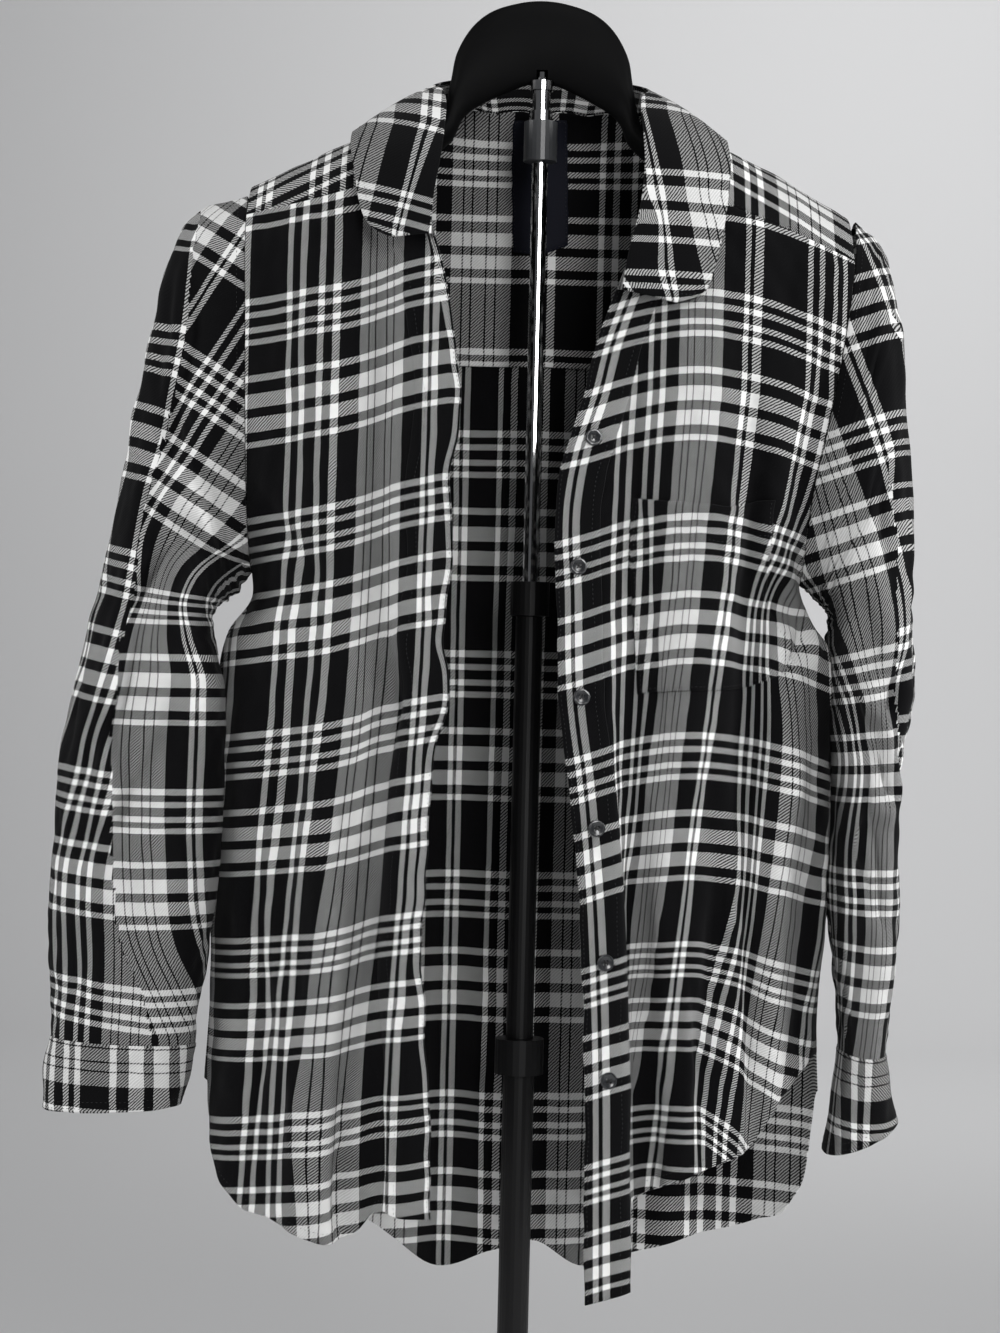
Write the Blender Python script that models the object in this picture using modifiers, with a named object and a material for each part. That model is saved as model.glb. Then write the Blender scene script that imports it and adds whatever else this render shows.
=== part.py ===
"""A flannel shirt, open down the front, on a thick hanger that sits on a telescopic stand.

Metres, +Z up. The origin is on the floor, on the mast's axis, and the shirt's front faces -Y.
Right and left are the wearer's, so the right side is at -X. Tables are in millimetres.
"""
import math

import bmesh
import bpy
import numpy as np

MM = 0.001

# Cloth
WALL = 1.2                  # one layer of flannel with its nap
SEAM = 0.5                  # gap between two pieces sewn edge to edge
LAYER = WALL + 0.4          # from one layer's middle to that of the layer lying on it
THIN = 0.5                  # the woven label

# Torso
UNDERARM_Z = 958.0
ROLL = 65.0                 # how far down the cloth rounds over the hanger's arms
SQUARENESS = 2.4            # exponent of the torso's section: 2 is an ellipse
PLACKET_WIDTH = 30.0
YOKE_SEAM_Z = 1115.0
FRONT_COLUMNS = 12
FRONT_ROWS = 20
BACK_COLUMNS = 18
BACK_ROWS = 19
YOKE_COLUMNS = 24

# z, right side x, left side x, front depth, back depth
BODY = [
    (440, -224, 217, 80, 58),
    (560, -224, 214, 82, 61),
    (640, -220, 210, 82, 64),
    (720, -214, 209, 81, 66),
    (800, -212, 211, 80, 68),
    (870, -213, 213, 79, 70),
    (895, -213, 212, 79, 70),
    (915, -208, 205, 78, 70),
    (940, -196.2, 191.7, 78, 68.9),
    (958, -197, 190, 78, 68),
    (1000, -211, 207, 78, 66),
    (1060, -230, 232, 78, 65),
    (1120, -243, 248, 77, 64),
    (1330, -248, 254, 76, 62),
]

# x, height of the line over the shoulders and hanger
SHOULDER = [
    (-260, 1203), (-210, 1227), (-132, 1264), (-80, 1288), (-50, 1307), (0, 1325),
    (50, 1307), (80, 1289), (135, 1262), (178, 1240), (214, 1220), (260, 1196),
]

# z, right armhole x, left armhole x
ARMHOLE = [(958, -197, 190), (1014, -199, 193), (1062, -200, 202), (1120, -201, 212), (1240, -204, 225)]

# z, inner edge of the right front (neckline, then opening edge)
RIGHT_EDGE = [
    (440, -56), (484, -57), (640, -65), (694, -69), (783, -66), (845, -61), (872, -54), (913, -60),
    (967, -54), (1008, -57), (1090, -52), (1124, -57), (1170, -66), (1190, -72), (1210, -80), (1240, -86),
]

# z, inner edge of the left front
LEFT_EDGE = [
    (440, 49), (472, 48), (670, 42), (745, 37), (819, 29), (874, 21), (942, 18), (1010, 16),
    (1041, 21), (1082, 33), (1120, 42), (1155, 54), (1180, 64), (1205, 76), (1232, 86),
]

# part of the way from the inner edge to the side seam, height of the hem
RIGHT_HEM = [
    (0, 519), (.12, 519), (.24, 520), (.33, 504), (.43, 499), (.53, 502), (.69, 513), (.85, 524), (.93, 545), (1, 600),
]
LEFT_HEM = [(0, 466), (.19, 463), (.27, 531), (.47, 553), (.61, 561), (.70, 569), (.76, 585), (.85, 606), (1, 628)]
BACK_HEM = [
    (0, 600), (.04, 552), (.15, 515), (.28, 489), (.385, 456), (.47, 470), (.54, 478), (.625, 458), (.7, 471),
    (.8, 485), (.905, 500), (.96, 516), (.985, 545), (1, 600),
]

# x, height of the seam between front and yoke
RIGHT_YOKE_SEAM = [(-210, 1204), (-145, 1217), (-128, 1222), (-86, 1238)]
LEFT_YOKE_SEAM = [(86, 1232), (130, 1215), (160, 1205), (190, 1194), (226, 1180)]

# top x, top z, bottom x, bottom z, half width, depth at top, depth at bottom (outward is positive)
FRONT_FOLDS = [
    (-112, 1180, -102, 840, 24, -8, -5),
    (-140, 1130, -148, 880, 20, 4, 5),
    (-166, 900, -158, 590, 18, -5, -9),
    (-130, 870, -178, 600, 16, 6, 6),
    (-104, 720, -104, 470, 15, -2, -14),
    (-132, 640, -134, 470, 16, 2, 9),
    (-82, 900, -76, 560, 14, 5, 6),
    (120, 1140, 118, 860, 26, 5, 4),
    (64, 1010, 96, 450, 12, -3, -22),
    (112, 840, 122, 500, 14, 4, 6),
    (146, 1040, 156, 540, 15, -5, -15),
    (181, 940, 172, 600, 14, 4, 9),
]
BACK_FOLDS = [
    (-140, 1000, -150, 440, 20, 3, 9),
    (-92, 940, -100, 440, 18, -3, -10),
    (-44, 1090, -50, 440, 18, 3, 9),
    (0, 1112, -4, 440, 14, -5, -8),
    (48, 1090, 56, 440, 18, 3, 10),
    (104, 960, 108, 440, 18, -3, -9),
    (150, 1010, 158, 440, 18, 3, 8),
]

# neckline from the right front's end to the left's: x, z, face (-1 front, 1 back)
NECKLINE = [
    (-71, 1188, -1), (-80, 1210, -1), (-86, 1238.3, -1), (-85, 1258, -1), (-82, 1276, -1), (-77, 1289, 1),
    (-62, 1294, 1), (-34, 1296, 1), (0, 1297, 1), (34, 1296, 1), (62, 1294, 1), (77, 1290, 1),
    (82, 1277, -1), (85, 1256, -1), (86, 1232.3, -1), (76, 1205, -1), (63, 1178, -1), (54, 1155, -1),
]
NECK_CORNERS = (2, 14)      # rows of the neckline where the yoke's front seams meet it

# collar's fall, the same rows: roll x, y, z, then outer edge x, y, z
COLLAR = [
    (-74, -99, 1187, -112, -84, 1183),
    (-73, -98, 1212, -122, -80, 1207),
    (-69, -90, 1240, -127, -74, 1234),
    (-67, -68, 1270, -131, -56, 1254),
    (-68, -40, 1293, -131, -30, 1266),
    (-76, -8, 1304, -131, 4, 1270),
    (-66, 26, 1315, -112, 45, 1262),
    (-38, 50, 1323, -62, 63, 1260),
    (0, 59, 1327, 0, 68, 1260),
    (38, 50, 1323, 62, 63, 1260),
    (66, 26, 1315, 110, 45, 1262),
    (76, -8, 1304, 129, 4, 1270),
    (69, -40, 1292, 129, -32, 1265),
    (70, -66, 1268, 130, -58, 1248),
    (71, -84, 1238, 128, -74, 1222),
    (68, -93, 1208, 124, -80, 1192),
    (61, -97, 1178, 116, -84, 1160),
    (57, -98, 1152, 109, -84, 1142),
]

# sleeve rings below the armhole: outer x, z, inner x, z, half depth, middle y
RIGHT_SLEEVE = [
    (-236, 1214, -204, 950, 62, 0), (-255, 1188, -209, 944, 63, -2), (-265, 1147, -214, 940, 63, -4),
    (-274, 1091, -219, 936, 60, -8), (-285, 1035, -224, 931, 57, -12), (-298, 964, -228, 921, 54, -16),
    (-306, 924, -225, 903, 53, -18), (-314, 874, -216, 873, 51, -20), (-326, 821, -214, 835, 48, -21),
    (-328, 773, -215, 798, 46, -22), (-329, 733, -218, 750, 43, -22), (-329, 690, -220, 704, 40, -22),
    (-328, 655, -224, 660, 37, -22), (-328, 630, -228, 627, 34, -22),
]
RIGHT_CUFF = [(-328, 629.3, -228, 626.3, 34, -22), (-333, 604, -231, 604, 32, -22), (-332, 580, -237, 584, 31, -22)]
LEFT_SLEEVE = [
    (238, 1206, 197, 954, 62, 0), (248, 1186, 202, 949, 64, 0), (254, 1150, 206, 945, 66, -1),
    (258, 1089, 210, 941, 69, -2), (263, 1025, 213, 936, 70, -4), (265, 970, 215, 927, 70, -5),
    (268, 928, 216, 908, 70, -6), (268, 882, 217, 875, 68, -7), (262, 842, 218, 838, 67, -8),
    (261, 795, 221, 795, 66, -9), (262, 750, 219, 750, 64, -10), (261, 705, 221, 705, 61, -11),
    (258, 660, 224, 660, 57, -12), (256, 632, 226, 632, 52, -12),
]
LEFT_CUFF = [(256, 631.3, 226, 631.3, 52, -12), (261, 603, 222, 597, 48, -12), (266, 584, 217, 560, 46, -12)]
RING_POINTS = 18

# ring (counted from the armhole), angle from the outer point towards the front, ring half width,
# angle half width, depth
SLEEVE_FOLDS = [
    (4.0, 70, 1.6, 34, -9), (6.5, 105, 1.2, 40, -8), (8.0, 40, 1.1, 50, 5), (9.6, 115, 1.1, 46, -6),
    (11.4, 60, 1.2, 55, 5), (5.5, 255, 1.5, 42, -8), (8.5, 235, 1.2, 44, -7), (10.8, 290, 1.3, 50, 5),
    (12.4, 180, 1.0, 60, -4),
]

# Pocket, on the left front: columns and rows of its grid
POCKET_COLUMNS = (3, 8)
POCKET_ROWS = (10, 14)

LABEL_WIDTH = 38.0

BUTTON_RADIUS = 5.8
BUTTON_THICK = 2.4
BUTTON_HEIGHTS = (1053, 965, 876, 787, 696, 616)

# Hanger, from its middle out: top x, top z, bottom x, bottom z, middle y, half thickness
HANGER = [
    (0, 1369, 0, 1309.5, 4, 12), (18, 1367, 10, 1309, 4, 12), (37, 1360.5, 22, 1304.5, 4, 12.5),
    (51, 1348.5, 35, 1298.5, 4, 13), (61, 1330, 48, 1291, 3, 13), (65, 1309, 56, 1283, 2, 13),
    (72, 1281, 64, 1267, 1, 15), (90, 1271, 86, 1251, 1, 21), (132, 1257, 126, 1233, -3, 25),
    (168, 1238, 162, 1217, -7, 25), (188, 1226, 184, 1211, -9, 20),
]
HANGER_POINTS = 16
HANGER_LEFT_DROP = 3.0      # the left arm sits a little lower

# Stand
SPIGOT_TOP = 1311.0
NOTCH = (8.0, 7.2)          # the hanger's notch over the spigot's tip: width and height
NOTCH_LENGTH = 20.0
NOTCH_FORWARD = 6.0         # the notch opens through the hanger's front
SEAT_RADIUS = 8.6           # the recess over the spigot's head
FACE_GAP = 0.3              # between two faces that meet
FOOT_CIRCLE = 430.0
LEG_TOP_Z = 330.0
LEG_TOP_RADIUS = 30.0
BRACE_HUB_Z = 150.0
BRACE_ON_LEG = 0.52         # part of the way down the leg
BRACE_BELOW_LEG = 16.0      # from the leg's middle line to the brace's end
LEG_ABOVE_FOOT = 8.4
LEG_SIZE = (15.0, 22.0)
BRACE_SIZE = (10.0, 14.0)
FOOT_RADIUS = 16.0
FOOT_HEIGHT = 26.0
LEG_ANGLES = (90, 210, 330)
HUB_BORE = 11.3             # round the lower tube
LEG_HUB = (24.0, 22.0, 16.0)        # radius, reach below and above the legs' top ends
BRACE_HUB = (20.0, 14.0, 10.0)      # the same round the braces
BRACE_FROM_HUB = 0.9
FOOT_TOP_RADIUS = 12.0

# the mast's turned sections: name, radius, bottom, top, finish, sides
MAST = [
    ("end_cap", 15, 0, 14, "black", 24), ("lower_tube", 11, 14.3, 607.2, "black", 24),
    ("clamp_3", 17.3, 607.5, 632.5, "black", 24), ("middle_tube", 9.6, 632.8, 931.7, "black", 24),
    ("clamp_2", 13.8, 932, 956, "black", 24), ("top_tube", 5.6, 956.3, 1253.7, "chrome", 20),
    ("clamp_1", 11.8, 1254, 1282, "grey", 24), ("spigot_base", 8, 1282.3, 1289.7, "chrome", 20),
    ("spigot_neck", 6.6, 1290, 1304, "chrome", 20), ("spigot_head", 8, 1304.3, SPIGOT_TOP, "chrome", 20),
    ("spigot_tip", 3, 1311.3, 1317.5, "chrome", 12),
]

PALE_CLOTH = (0.35, 0.35, 0.34)


def column(table, key, index=1):
    """Smooth value of one column of a table at the given key, held level past its ends."""
    keys = np.array([row[0] for row in table], float)
    values = np.array([row[index] for row in table], float)
    slopes = np.gradient(values, keys)
    key = np.clip(np.asarray(key, float), keys[0], keys[-1])
    low = np.clip(np.searchsorted(keys, key, side="right") - 1, 0, len(keys) - 2)
    span = keys[low + 1] - keys[low]
    t = (key - keys[low]) / span
    rise = t * t * (3 - 2 * t)
    start = values[low] + (values[low + 1] - values[low]) * rise
    bend = span * (slopes[low] * t * (1 - t) ** 2 - slopes[low + 1] * t * t * (1 - t))
    return start + bend


def torso_depth(x, z, face):
    """Depth of the torso's section at a place, before the shoulders round it over."""
    right = column(BODY, z, 1)
    left = column(BODY, z, 2)
    across = (2 * x - left - right) / (left - right)
    across = np.clip(np.abs(across), 0, 1)
    share = (1 - across ** SQUARENESS) ** (1 / SQUARENESS)
    deep = np.where(face < 0, column(BODY, z, 3), column(BODY, z, 4))
    return deep * share, share


def folds(table, x, z):
    """Depth of the soft vertical folds at a place, outward positive."""
    total = np.zeros(np.broadcast(x, z).shape)
    for top_x, top_z, low_x, low_z, half, top_depth, low_depth in table:
        t = (top_z - z) / (top_z - low_z)
        middle = top_x + (low_x - top_x) * np.clip(t, 0, 1)
        depth = top_depth + (low_depth - top_depth) * np.clip(t, 0, 1)
        fade = np.clip(t / 0.25 + 1, 0, 1) * np.clip((1.25 - t) / 0.25, 0, 1)
        total = total + depth * fade * np.exp(-((x - middle) / half) ** 2)
    return total


def skin(x, z, face):
    """Points of the torso's surface, from x and z and which face (-1 front, 1 back)."""
    x = np.asarray(x, float)
    z = np.asarray(z, float)
    depth, share = torso_depth(x, z, face)
    drop = np.clip(column(SHOULDER, x) - z, 0, ROLL)
    round_over = np.sqrt(np.clip(1 - (1 - drop / ROLL) ** 2, 0, 1))
    table = FRONT_FOLDS if face < 0 else BACK_FOLDS
    depth = (depth + folds(table, x, z) * share) * round_over
    return np.stack(np.broadcast_arrays(x, face * depth, z), axis=-1)


def over_shoulder(x, turn):
    """Points over the shoulder: turn is in degrees from the top line, front negative."""
    top = column(SHOULDER, x)
    around = np.minimum(np.abs(turn), 90)
    beyond = (np.abs(turn) - around) * math.radians(ROLL)
    z = top - ROLL * (1 - np.cos(np.radians(around))) - beyond
    front = skin(x, z, -1)
    back = skin(x, z, 1)
    return np.where((np.asarray(turn) < 0)[..., None], front, back)


def turn_at(x, z, face):
    """The turn over the shoulder at which a point of the torso lies."""
    drop = column(SHOULDER, x) - z
    around = np.degrees(np.arccos(np.clip(1 - drop / ROLL, 0, 1)))
    beyond = np.maximum(drop - ROLL, 0) / math.radians(ROLL)
    return face * (around + beyond)


def front_x(side, number, z):
    """Distance across of one column of a front, from its inner edge to its side or armhole."""
    which = 1 if side < 0 else 2
    inner = column(RIGHT_EDGE if side < 0 else LEFT_EDGE, z)
    outer = np.where(z < UNDERARM_Z, column(BODY, z, which), column(ARMHOLE, z, which))
    if number < 3:
        return inner + side * PLACKET_WIDTH * number / 2
    start = inner + side * PLACKET_WIDTH
    return start + (outer - start) * math.sin(math.pi / 2 * (number - 2) / (FRONT_COLUMNS - 2))


def seam_point(side, number):
    """Where a column of a front meets the yoke: x and z."""
    seam = RIGHT_YOKE_SEAM if side < 0 else LEFT_YOKE_SEAM
    z = 1215.0
    for _ in range(8):
        z = column(seam, front_x(side, number, z))
    return float(front_x(side, number, z)), float(z)


def front_grid(side):
    """Rows from the hem up, columns from the inner edge out, of one front."""
    hem = RIGHT_HEM if side < 0 else LEFT_HEM
    low_inner, low_outer = front_x(side, 0, 500), front_x(side, FRONT_COLUMNS, 600)
    grid = []
    for k in range(FRONT_COLUMNS + 1):
        low = column(hem, (front_x(side, k, 520) - low_inner) / (low_outer - low_inner))
        z = np.linspace(low, seam_point(side, k)[1] - SEAM / 2, FRONT_ROWS + 1)
        points = skin(front_x(side, k, z), z, -1)
        points[:, 1] = np.minimum(points[:, 1], -SEAM / 2)
        grid.append(points)
    return np.array(grid).transpose(1, 0, 2)


def back_grid():
    """Rows from the hem up to the yoke seam, columns from the right side to the left."""
    grid = []
    for k in range(BACK_COLUMNS + 1):
        f = 0.5 - 0.5 * math.cos(math.pi * k / BACK_COLUMNS)
        z = np.linspace(column(BACK_HEM, f), YOKE_SEAM_Z - SEAM / 2, BACK_ROWS + 1)
        below = z < UNDERARM_Z
        right = np.where(below, column(BODY, z, 1), column(ARMHOLE, z, 1))
        left = np.where(below, column(BODY, z, 2), column(ARMHOLE, z, 2))
        points = skin(right + (left - right) * f, z, 1)
        points[:, 1] = np.maximum(points[:, 1], SEAM / 2)
        grid.append(points)
    return np.array(grid).transpose(1, 0, 2)


def neckline_place(number):
    """Place along the neckline's rows of one of the yoke's columns."""
    first, last = NECK_CORNERS
    return float(np.interp(number, (0, 4, 6, 18, 20, 24), (first, 5, 6, 10, 11, last)))


def neckline_at(place):
    """The neckline's x and turn at a place along its rows."""
    rows = range(len(NECKLINE))
    x = np.interp(place, rows, [row[0] for row in NECKLINE])
    return x, np.interp(place, rows, [float(turn_at(*row)) for row in NECKLINE])


def yoke_outer_edge(number):
    """One point of the yoke's armhole or back edge as x and turn, by column."""
    right_back = float(column(ARMHOLE, YOKE_SEAM_Z, 1))
    left_back = float(column(ARMHOLE, YOKE_SEAM_Z, 2))
    back_z = YOKE_SEAM_Z + SEAM / 2
    if 6 <= number <= 18:
        x = right_back + (left_back - right_back) * (number - 6) / 12
        return x, float(turn_at(x, back_z, 1))
    side, t, back_x = (-1, number / 6, right_back) if number < 6 else (1, (24 - number) / 6, left_back)
    x, z = seam_point(side, FRONT_COLUMNS)
    start = float(turn_at(x, z + SEAM / 2, -1))
    return x + (back_x - x) * t, start + (float(turn_at(back_x, back_z, 1)) - start) * t


def yoke_grid():
    """Rows from the neck outwards, columns from the right front seam round to the left one."""
    rows = []
    for k in range(0, FRONT_COLUMNS + 1, 2):
        line = []
        for number in range(YOKE_COLUMNS + 1):
            side = -1 if number <= YOKE_COLUMNS / 2 else 1
            ends = [seam_point(side, end)[0] for end in (0, k, FRONT_COLUMNS)]
            t = (ends[1] - ends[0]) / (ends[2] - ends[0])
            near = np.array(neckline_at(neckline_place(number)))
            far = np.array(yoke_outer_edge(number))
            x, turn = near + (far - near) * t
            beside = min(number, YOKE_COLUMNS - number)
            if beside < 4:
                seam_x, seam_z = seam_point(side, k)
                seam_turn = float(turn_at(seam_x, seam_z + SEAM / 2, -1))
                end = 0 if side < 0 else YOKE_COLUMNS
                straight = neckline_at(neckline_place(end))[1] * (1 - t) + yoke_outer_edge(end)[1] * t
                turn += (seam_turn - straight) * (1 - beside / 4)
            line.append(over_shoulder(x, turn))
        rows.append(line)
    return np.array(rows)


def collar_grids():
    """The fall's grid and the stand's grid, columns along the neckline."""
    first, last = NECK_CORNERS
    places = list(range(first)) + [neckline_place(number) for number in range(YOKE_COLUMNS + 1)]
    places += list(range(last + 1, len(NECKLINE)))
    neck = np.array([over_shoulder(*neckline_at(place)) for place in places])
    keyed = [(number, *row) for number, row in enumerate(COLLAR)]
    rows = np.array([column(keyed, places, index) for index in range(1, 7)]).T
    roll = rows[:, :3]
    edge = rows[:, 3:]
    towards = roll - neck
    towards = towards / np.linalg.norm(towards, axis=1, keepdims=True)
    stand = [neck + towards * 1.3 + (roll - neck - towards * 4.8) * t for t in (0, 0.5, 1)]
    along = np.gradient(roll, axis=0)
    out = np.cross(along, edge - roll)
    out = out / np.linalg.norm(out, axis=1, keepdims=True)
    out = out * np.sign(np.sum(out * towards, axis=1))[:, None]
    fall = [roll + (edge - roll) * t + out * bulge for t, bulge in ((0, 0), (0.3, 3.5), (0.65, 3.5), (1, 0))]
    return np.array(fall), np.array(stand)


def ring(outer_x, outer_z, inner_x, inner_z, half_depth, middle_y):
    """One ring of a sleeve or cuff, from its outer point round by the front."""
    angle = np.linspace(0, 2 * math.pi, RING_POINTS, endpoint=False)
    t = (1 - np.cos(angle)) / 2
    x = outer_x + (inner_x - outer_x) * t
    z = outer_z + (inner_z - outer_z) * t
    return np.stack([x, middle_y - half_depth * np.sin(angle), z], axis=-1)


def armhole_ring(side):
    """The sleeve's first ring, which follows the armhole of the torso."""
    arm = 1 if side < 0 else 2
    top = column(SHOULDER, side * 212) - 0.2
    angle = np.linspace(0, 2 * math.pi, RING_POINTS, endpoint=False)
    z = UNDERARM_Z + (top - UNDERARM_Z) * (1 + np.cos(angle)) / 2
    x = column(ARMHOLE, z, arm)
    front = skin(x, z, -1)
    back = skin(x, z, 1)
    points = np.where((angle < math.pi)[:, None], front, back)
    points[:, 0] += side * 2.4 * SEAM
    return points


def sleeve_grid(side, table):
    """Rings from the armhole down to the cuff, with the sleeve's folds."""
    rings = [armhole_ring(side)]
    for row in table:
        rings.append(ring(*row))
    rings = np.array(rings)
    for k, share in ((1, 0.6), (2, 0.35), (3, 0.15)):
        rings[k, :, 1] = rings[k, :, 1] * (1 - share) + rings[0, :, 1] * share
    middle = rings.mean(axis=1, keepdims=True)
    outward = rings - middle
    outward = outward / np.linalg.norm(outward, axis=2, keepdims=True)
    number = np.arange(len(rings))[:, None]
    degrees = np.linspace(0, 360, RING_POINTS, endpoint=False)[None, :]
    for at, angle, tall, wide, depth in SLEEVE_FOLDS:
        off = (degrees - angle + 180) % 360 - 180
        push = depth * np.exp(-((number - at) / tall) ** 2 - (off / wide) ** 2)
        push = push * np.clip(number / 3, 0, 1) * np.clip((len(rings) - 1 - number) / 2, 0, 1)
        rings = rings + outward * push[..., None]
    return rings


def outward_normals(grid, outward):
    """Unit normals of a grid's points, on the side that outward points to."""
    normals = np.cross(np.gradient(grid, axis=0), np.gradient(grid, axis=1))
    normals = normals / np.linalg.norm(normals, axis=2, keepdims=True)
    flip = np.sign(np.sum(normals.mean(axis=(0, 1)) * np.array(outward)))
    return normals * flip


def read_grid(grid, row, col):
    """A point between a grid's own points."""
    i = min(int(row), len(grid) - 2)
    j = min(int(col), grid.shape[1] - 2)
    a, b = row - i, col - j
    low = grid[i, j] * (1 - b) + grid[i, j + 1] * b
    high = grid[i + 1, j] * (1 - b) + grid[i + 1, j + 1] * b
    return low * (1 - a) + high * a


def material(name, colour, roughness, metallic=0.0):
    made = bpy.data.materials.get(name) or bpy.data.materials.new(name)
    made.use_nodes = True
    shader = made.node_tree.nodes["Principled BSDF"]
    shader.inputs["Base Color"].default_value = (*colour, 1)
    shader.inputs["Roughness"].default_value = roughness
    shader.inputs["Metallic"].default_value = metallic
    return made


def keep(obj, finish):
    """File an object in the part's collection with its material."""
    for owner in list(obj.users_collection):
        owner.objects.unlink(obj)
    bpy.data.collections["flannel_shirt"].objects.link(obj)
    obj.data.materials.clear()
    obj.data.materials.append(finish)
    return obj


def cloth(name, grid, finish, tube=False, wall=WALL):
    """An open sheet (or an open tube) through a grid's points, given its wall by Solidify."""
    rows, cols = grid.shape[:2]
    bm = bmesh.new()
    verts = [[bm.verts.new(point * MM) for point in line] for line in grid]
    for i in range(rows - 1):
        for j in range(cols if tube else cols - 1):
            a, b = verts[i][j], verts[i][(j + 1) % cols]
            c, d = verts[i + 1][(j + 1) % cols], verts[i + 1][j]
            bm.faces.new((a, b, c))
            bm.faces.new((a, c, d))
    mesh = bpy.data.meshes.new(name)
    bm.to_mesh(mesh)
    bm.free()
    mesh.shade_smooth()
    obj = bpy.data.objects.new(name, mesh)
    bpy.data.collections["flannel_shirt"].objects.link(obj)
    obj.data.materials.append(finish)
    skin_modifier = obj.modifiers.new("wall", "SOLIDIFY")
    skin_modifier.thickness = wall * MM
    skin_modifier.offset = 0
    skin_modifier.use_even_offset = True
    return obj


def turned(name, radius, bottom, top, finish, at=(0, 0), sides=24, top_radius=None):
    """An upright turned piece: a plain cylinder, or a cone where top_radius is given."""
    bpy.ops.mesh.primitive_cone_add(
        vertices=sides, radius1=radius * MM, radius2=(top_radius or radius) * MM,
        depth=(top - bottom) * MM, location=(at[0] * MM, at[1] * MM, (top + bottom) / 2 * MM),
    )
    obj = bpy.context.object
    obj.name = name
    obj.data.shade_smooth()
    obj.data.set_sharp_from_angle(angle=math.radians(40))
    return keep(obj, finish)


def bar(name, start, end, size, finish):
    """A flat-sided bar between two points, its broad side upright."""
    start = np.array(start, float)
    end = np.array(end, float)
    run = end - start
    bpy.ops.mesh.primitive_cube_add(size=1, location=tuple((start + end) / 2 * MM))
    obj = bpy.context.object
    obj.name = name
    flat = math.hypot(run[0], run[1])
    obj.rotation_euler = (0, math.atan2(-run[2], flat), math.atan2(run[1], run[0]))
    for vert in obj.data.vertices:
        vert.co.x *= np.linalg.norm(run) * MM
        vert.co.y *= size[0] * MM
        vert.co.z *= size[1] * MM
    edges = obj.modifiers.new("edges", "BEVEL")
    edges.width = 1.5 * MM
    edges.segments = 1
    return keep(obj, finish)


def build_torso(plain):
    right = front_grid(-1)
    left = front_grid(1)
    cloth("front_right", right, plain)
    cloth("front_left", left, plain)
    cloth("back", back_grid(), plain)
    yoke = yoke_grid()
    cloth("yoke", yoke, plain)
    inner = yoke - outward_normals(yoke, (0, 0.6, 1)) * LAYER
    cloth("yoke_inner", inner, plain)
    for name, grid, top_row in (("placket_right", right, 18), ("placket_left", left, 17)):
        lifted = grid + outward_normals(grid, (0, -1, 0)) * LAYER
        cloth(name, lifted[:top_row + 1, :3], plain)
    return left, inner


def build_pocket(left, plain):
    lifted = left + outward_normals(left, (0, -1, 0)) * LAYER
    low, high = POCKET_ROWS
    first, last = POCKET_COLUMNS
    cloth("pocket", lifted[low:high + 1, first:last + 1], plain)


def build_label(inner, finish):
    """A woven label sewn inside the back neck."""
    normals = outward_normals(inner, (0, -0.6, -1))
    lifted = inner + normals * (WALL / 2 + 1.0 + THIN / 2)
    middle = YOKE_COLUMNS / 2
    near = abs(read_grid(inner, 0, middle + 1)[0] - read_grid(inner, 0, middle)[0])
    far = abs(read_grid(inner, 6, middle + 1)[0] - read_grid(inner, 6, middle)[0])
    patch = []
    for row in np.linspace(0.1, 2.4, 5):
        half = LABEL_WIDTH / 2 / (near + (far - near) * row / 6)
        patch.append([read_grid(lifted, row, middle + share * half) for share in (-1, 0, 1)])
    cloth("neck_label", np.array(patch), finish, wall=THIN)


def button_mesh():
    """One button: a plain disc."""
    bpy.ops.mesh.primitive_cylinder_add(vertices=16, radius=BUTTON_RADIUS * MM, depth=BUTTON_THICK * MM)
    disc = bpy.context.object
    made = disc.data.copy()
    made.name = "button"
    bpy.data.objects.remove(disc)
    return made


def place_button(name, mesh, point, normal, finish):
    """A button facing along a normal, sewn on at a point."""
    from_z = np.array((0, 0, 1.0))
    axis = np.cross(from_z, normal)
    angle = math.acos(np.clip(np.dot(from_z, normal), -1, 1))
    obj = bpy.data.objects.new(name, mesh)
    obj.rotation_mode = "AXIS_ANGLE"
    obj.rotation_axis_angle = (angle, *(axis / np.linalg.norm(axis)))
    obj.location = tuple(point * MM)
    bpy.data.collections["flannel_shirt"].objects.link(obj)
    obj.data.materials.clear()
    obj.data.materials.append(finish)


def build_buttons(left, finish):
    mesh = button_mesh()
    normals = outward_normals(left, (0, -1, 0))
    centre = left[:, 1]
    for number, height in enumerate(BUTTON_HEIGHTS, 1):
        row = float(np.interp(height, centre[:, 2], np.arange(len(centre))))
        normal = read_grid(normals, row, 1)
        normal = normal / np.linalg.norm(normal)
        out = LAYER + WALL / 2 + 0.8 + BUTTON_THICK / 2
        place_button(f"button_{number}", mesh, read_grid(left, row, 1) + normal * out, normal, finish)
    return mesh


def build_sleeves(plain, mesh, finish):
    sides = (("right", -1, RIGHT_SLEEVE, RIGHT_CUFF), ("left", 1, LEFT_SLEEVE, LEFT_CUFF))
    for name, side, sleeve, cuff in sides:
        cloth(f"sleeve_{name}", sleeve_grid(side, sleeve), plain, tube=True)
        band = np.array([ring(*row) for row in cuff])
        cloth(f"cuff_{name}", band, plain, tube=True, wall=2 * WALL)
        back_point = band[1, 3 * RING_POINTS // 4 + 1]
        normal = np.array((side * 0.2, 0.98, 0))
        normal = normal / np.linalg.norm(normal)
        point = back_point + normal * (WALL + 1.1 + BUTTON_THICK / 2)
        place_button(f"cuff_button_{name}", mesh, point, normal, finish)


def build_collar(plain):
    fall, stand = collar_grids()
    cloth("collar", fall, plain)
    cloth("collar_stand", stand, plain)


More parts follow.
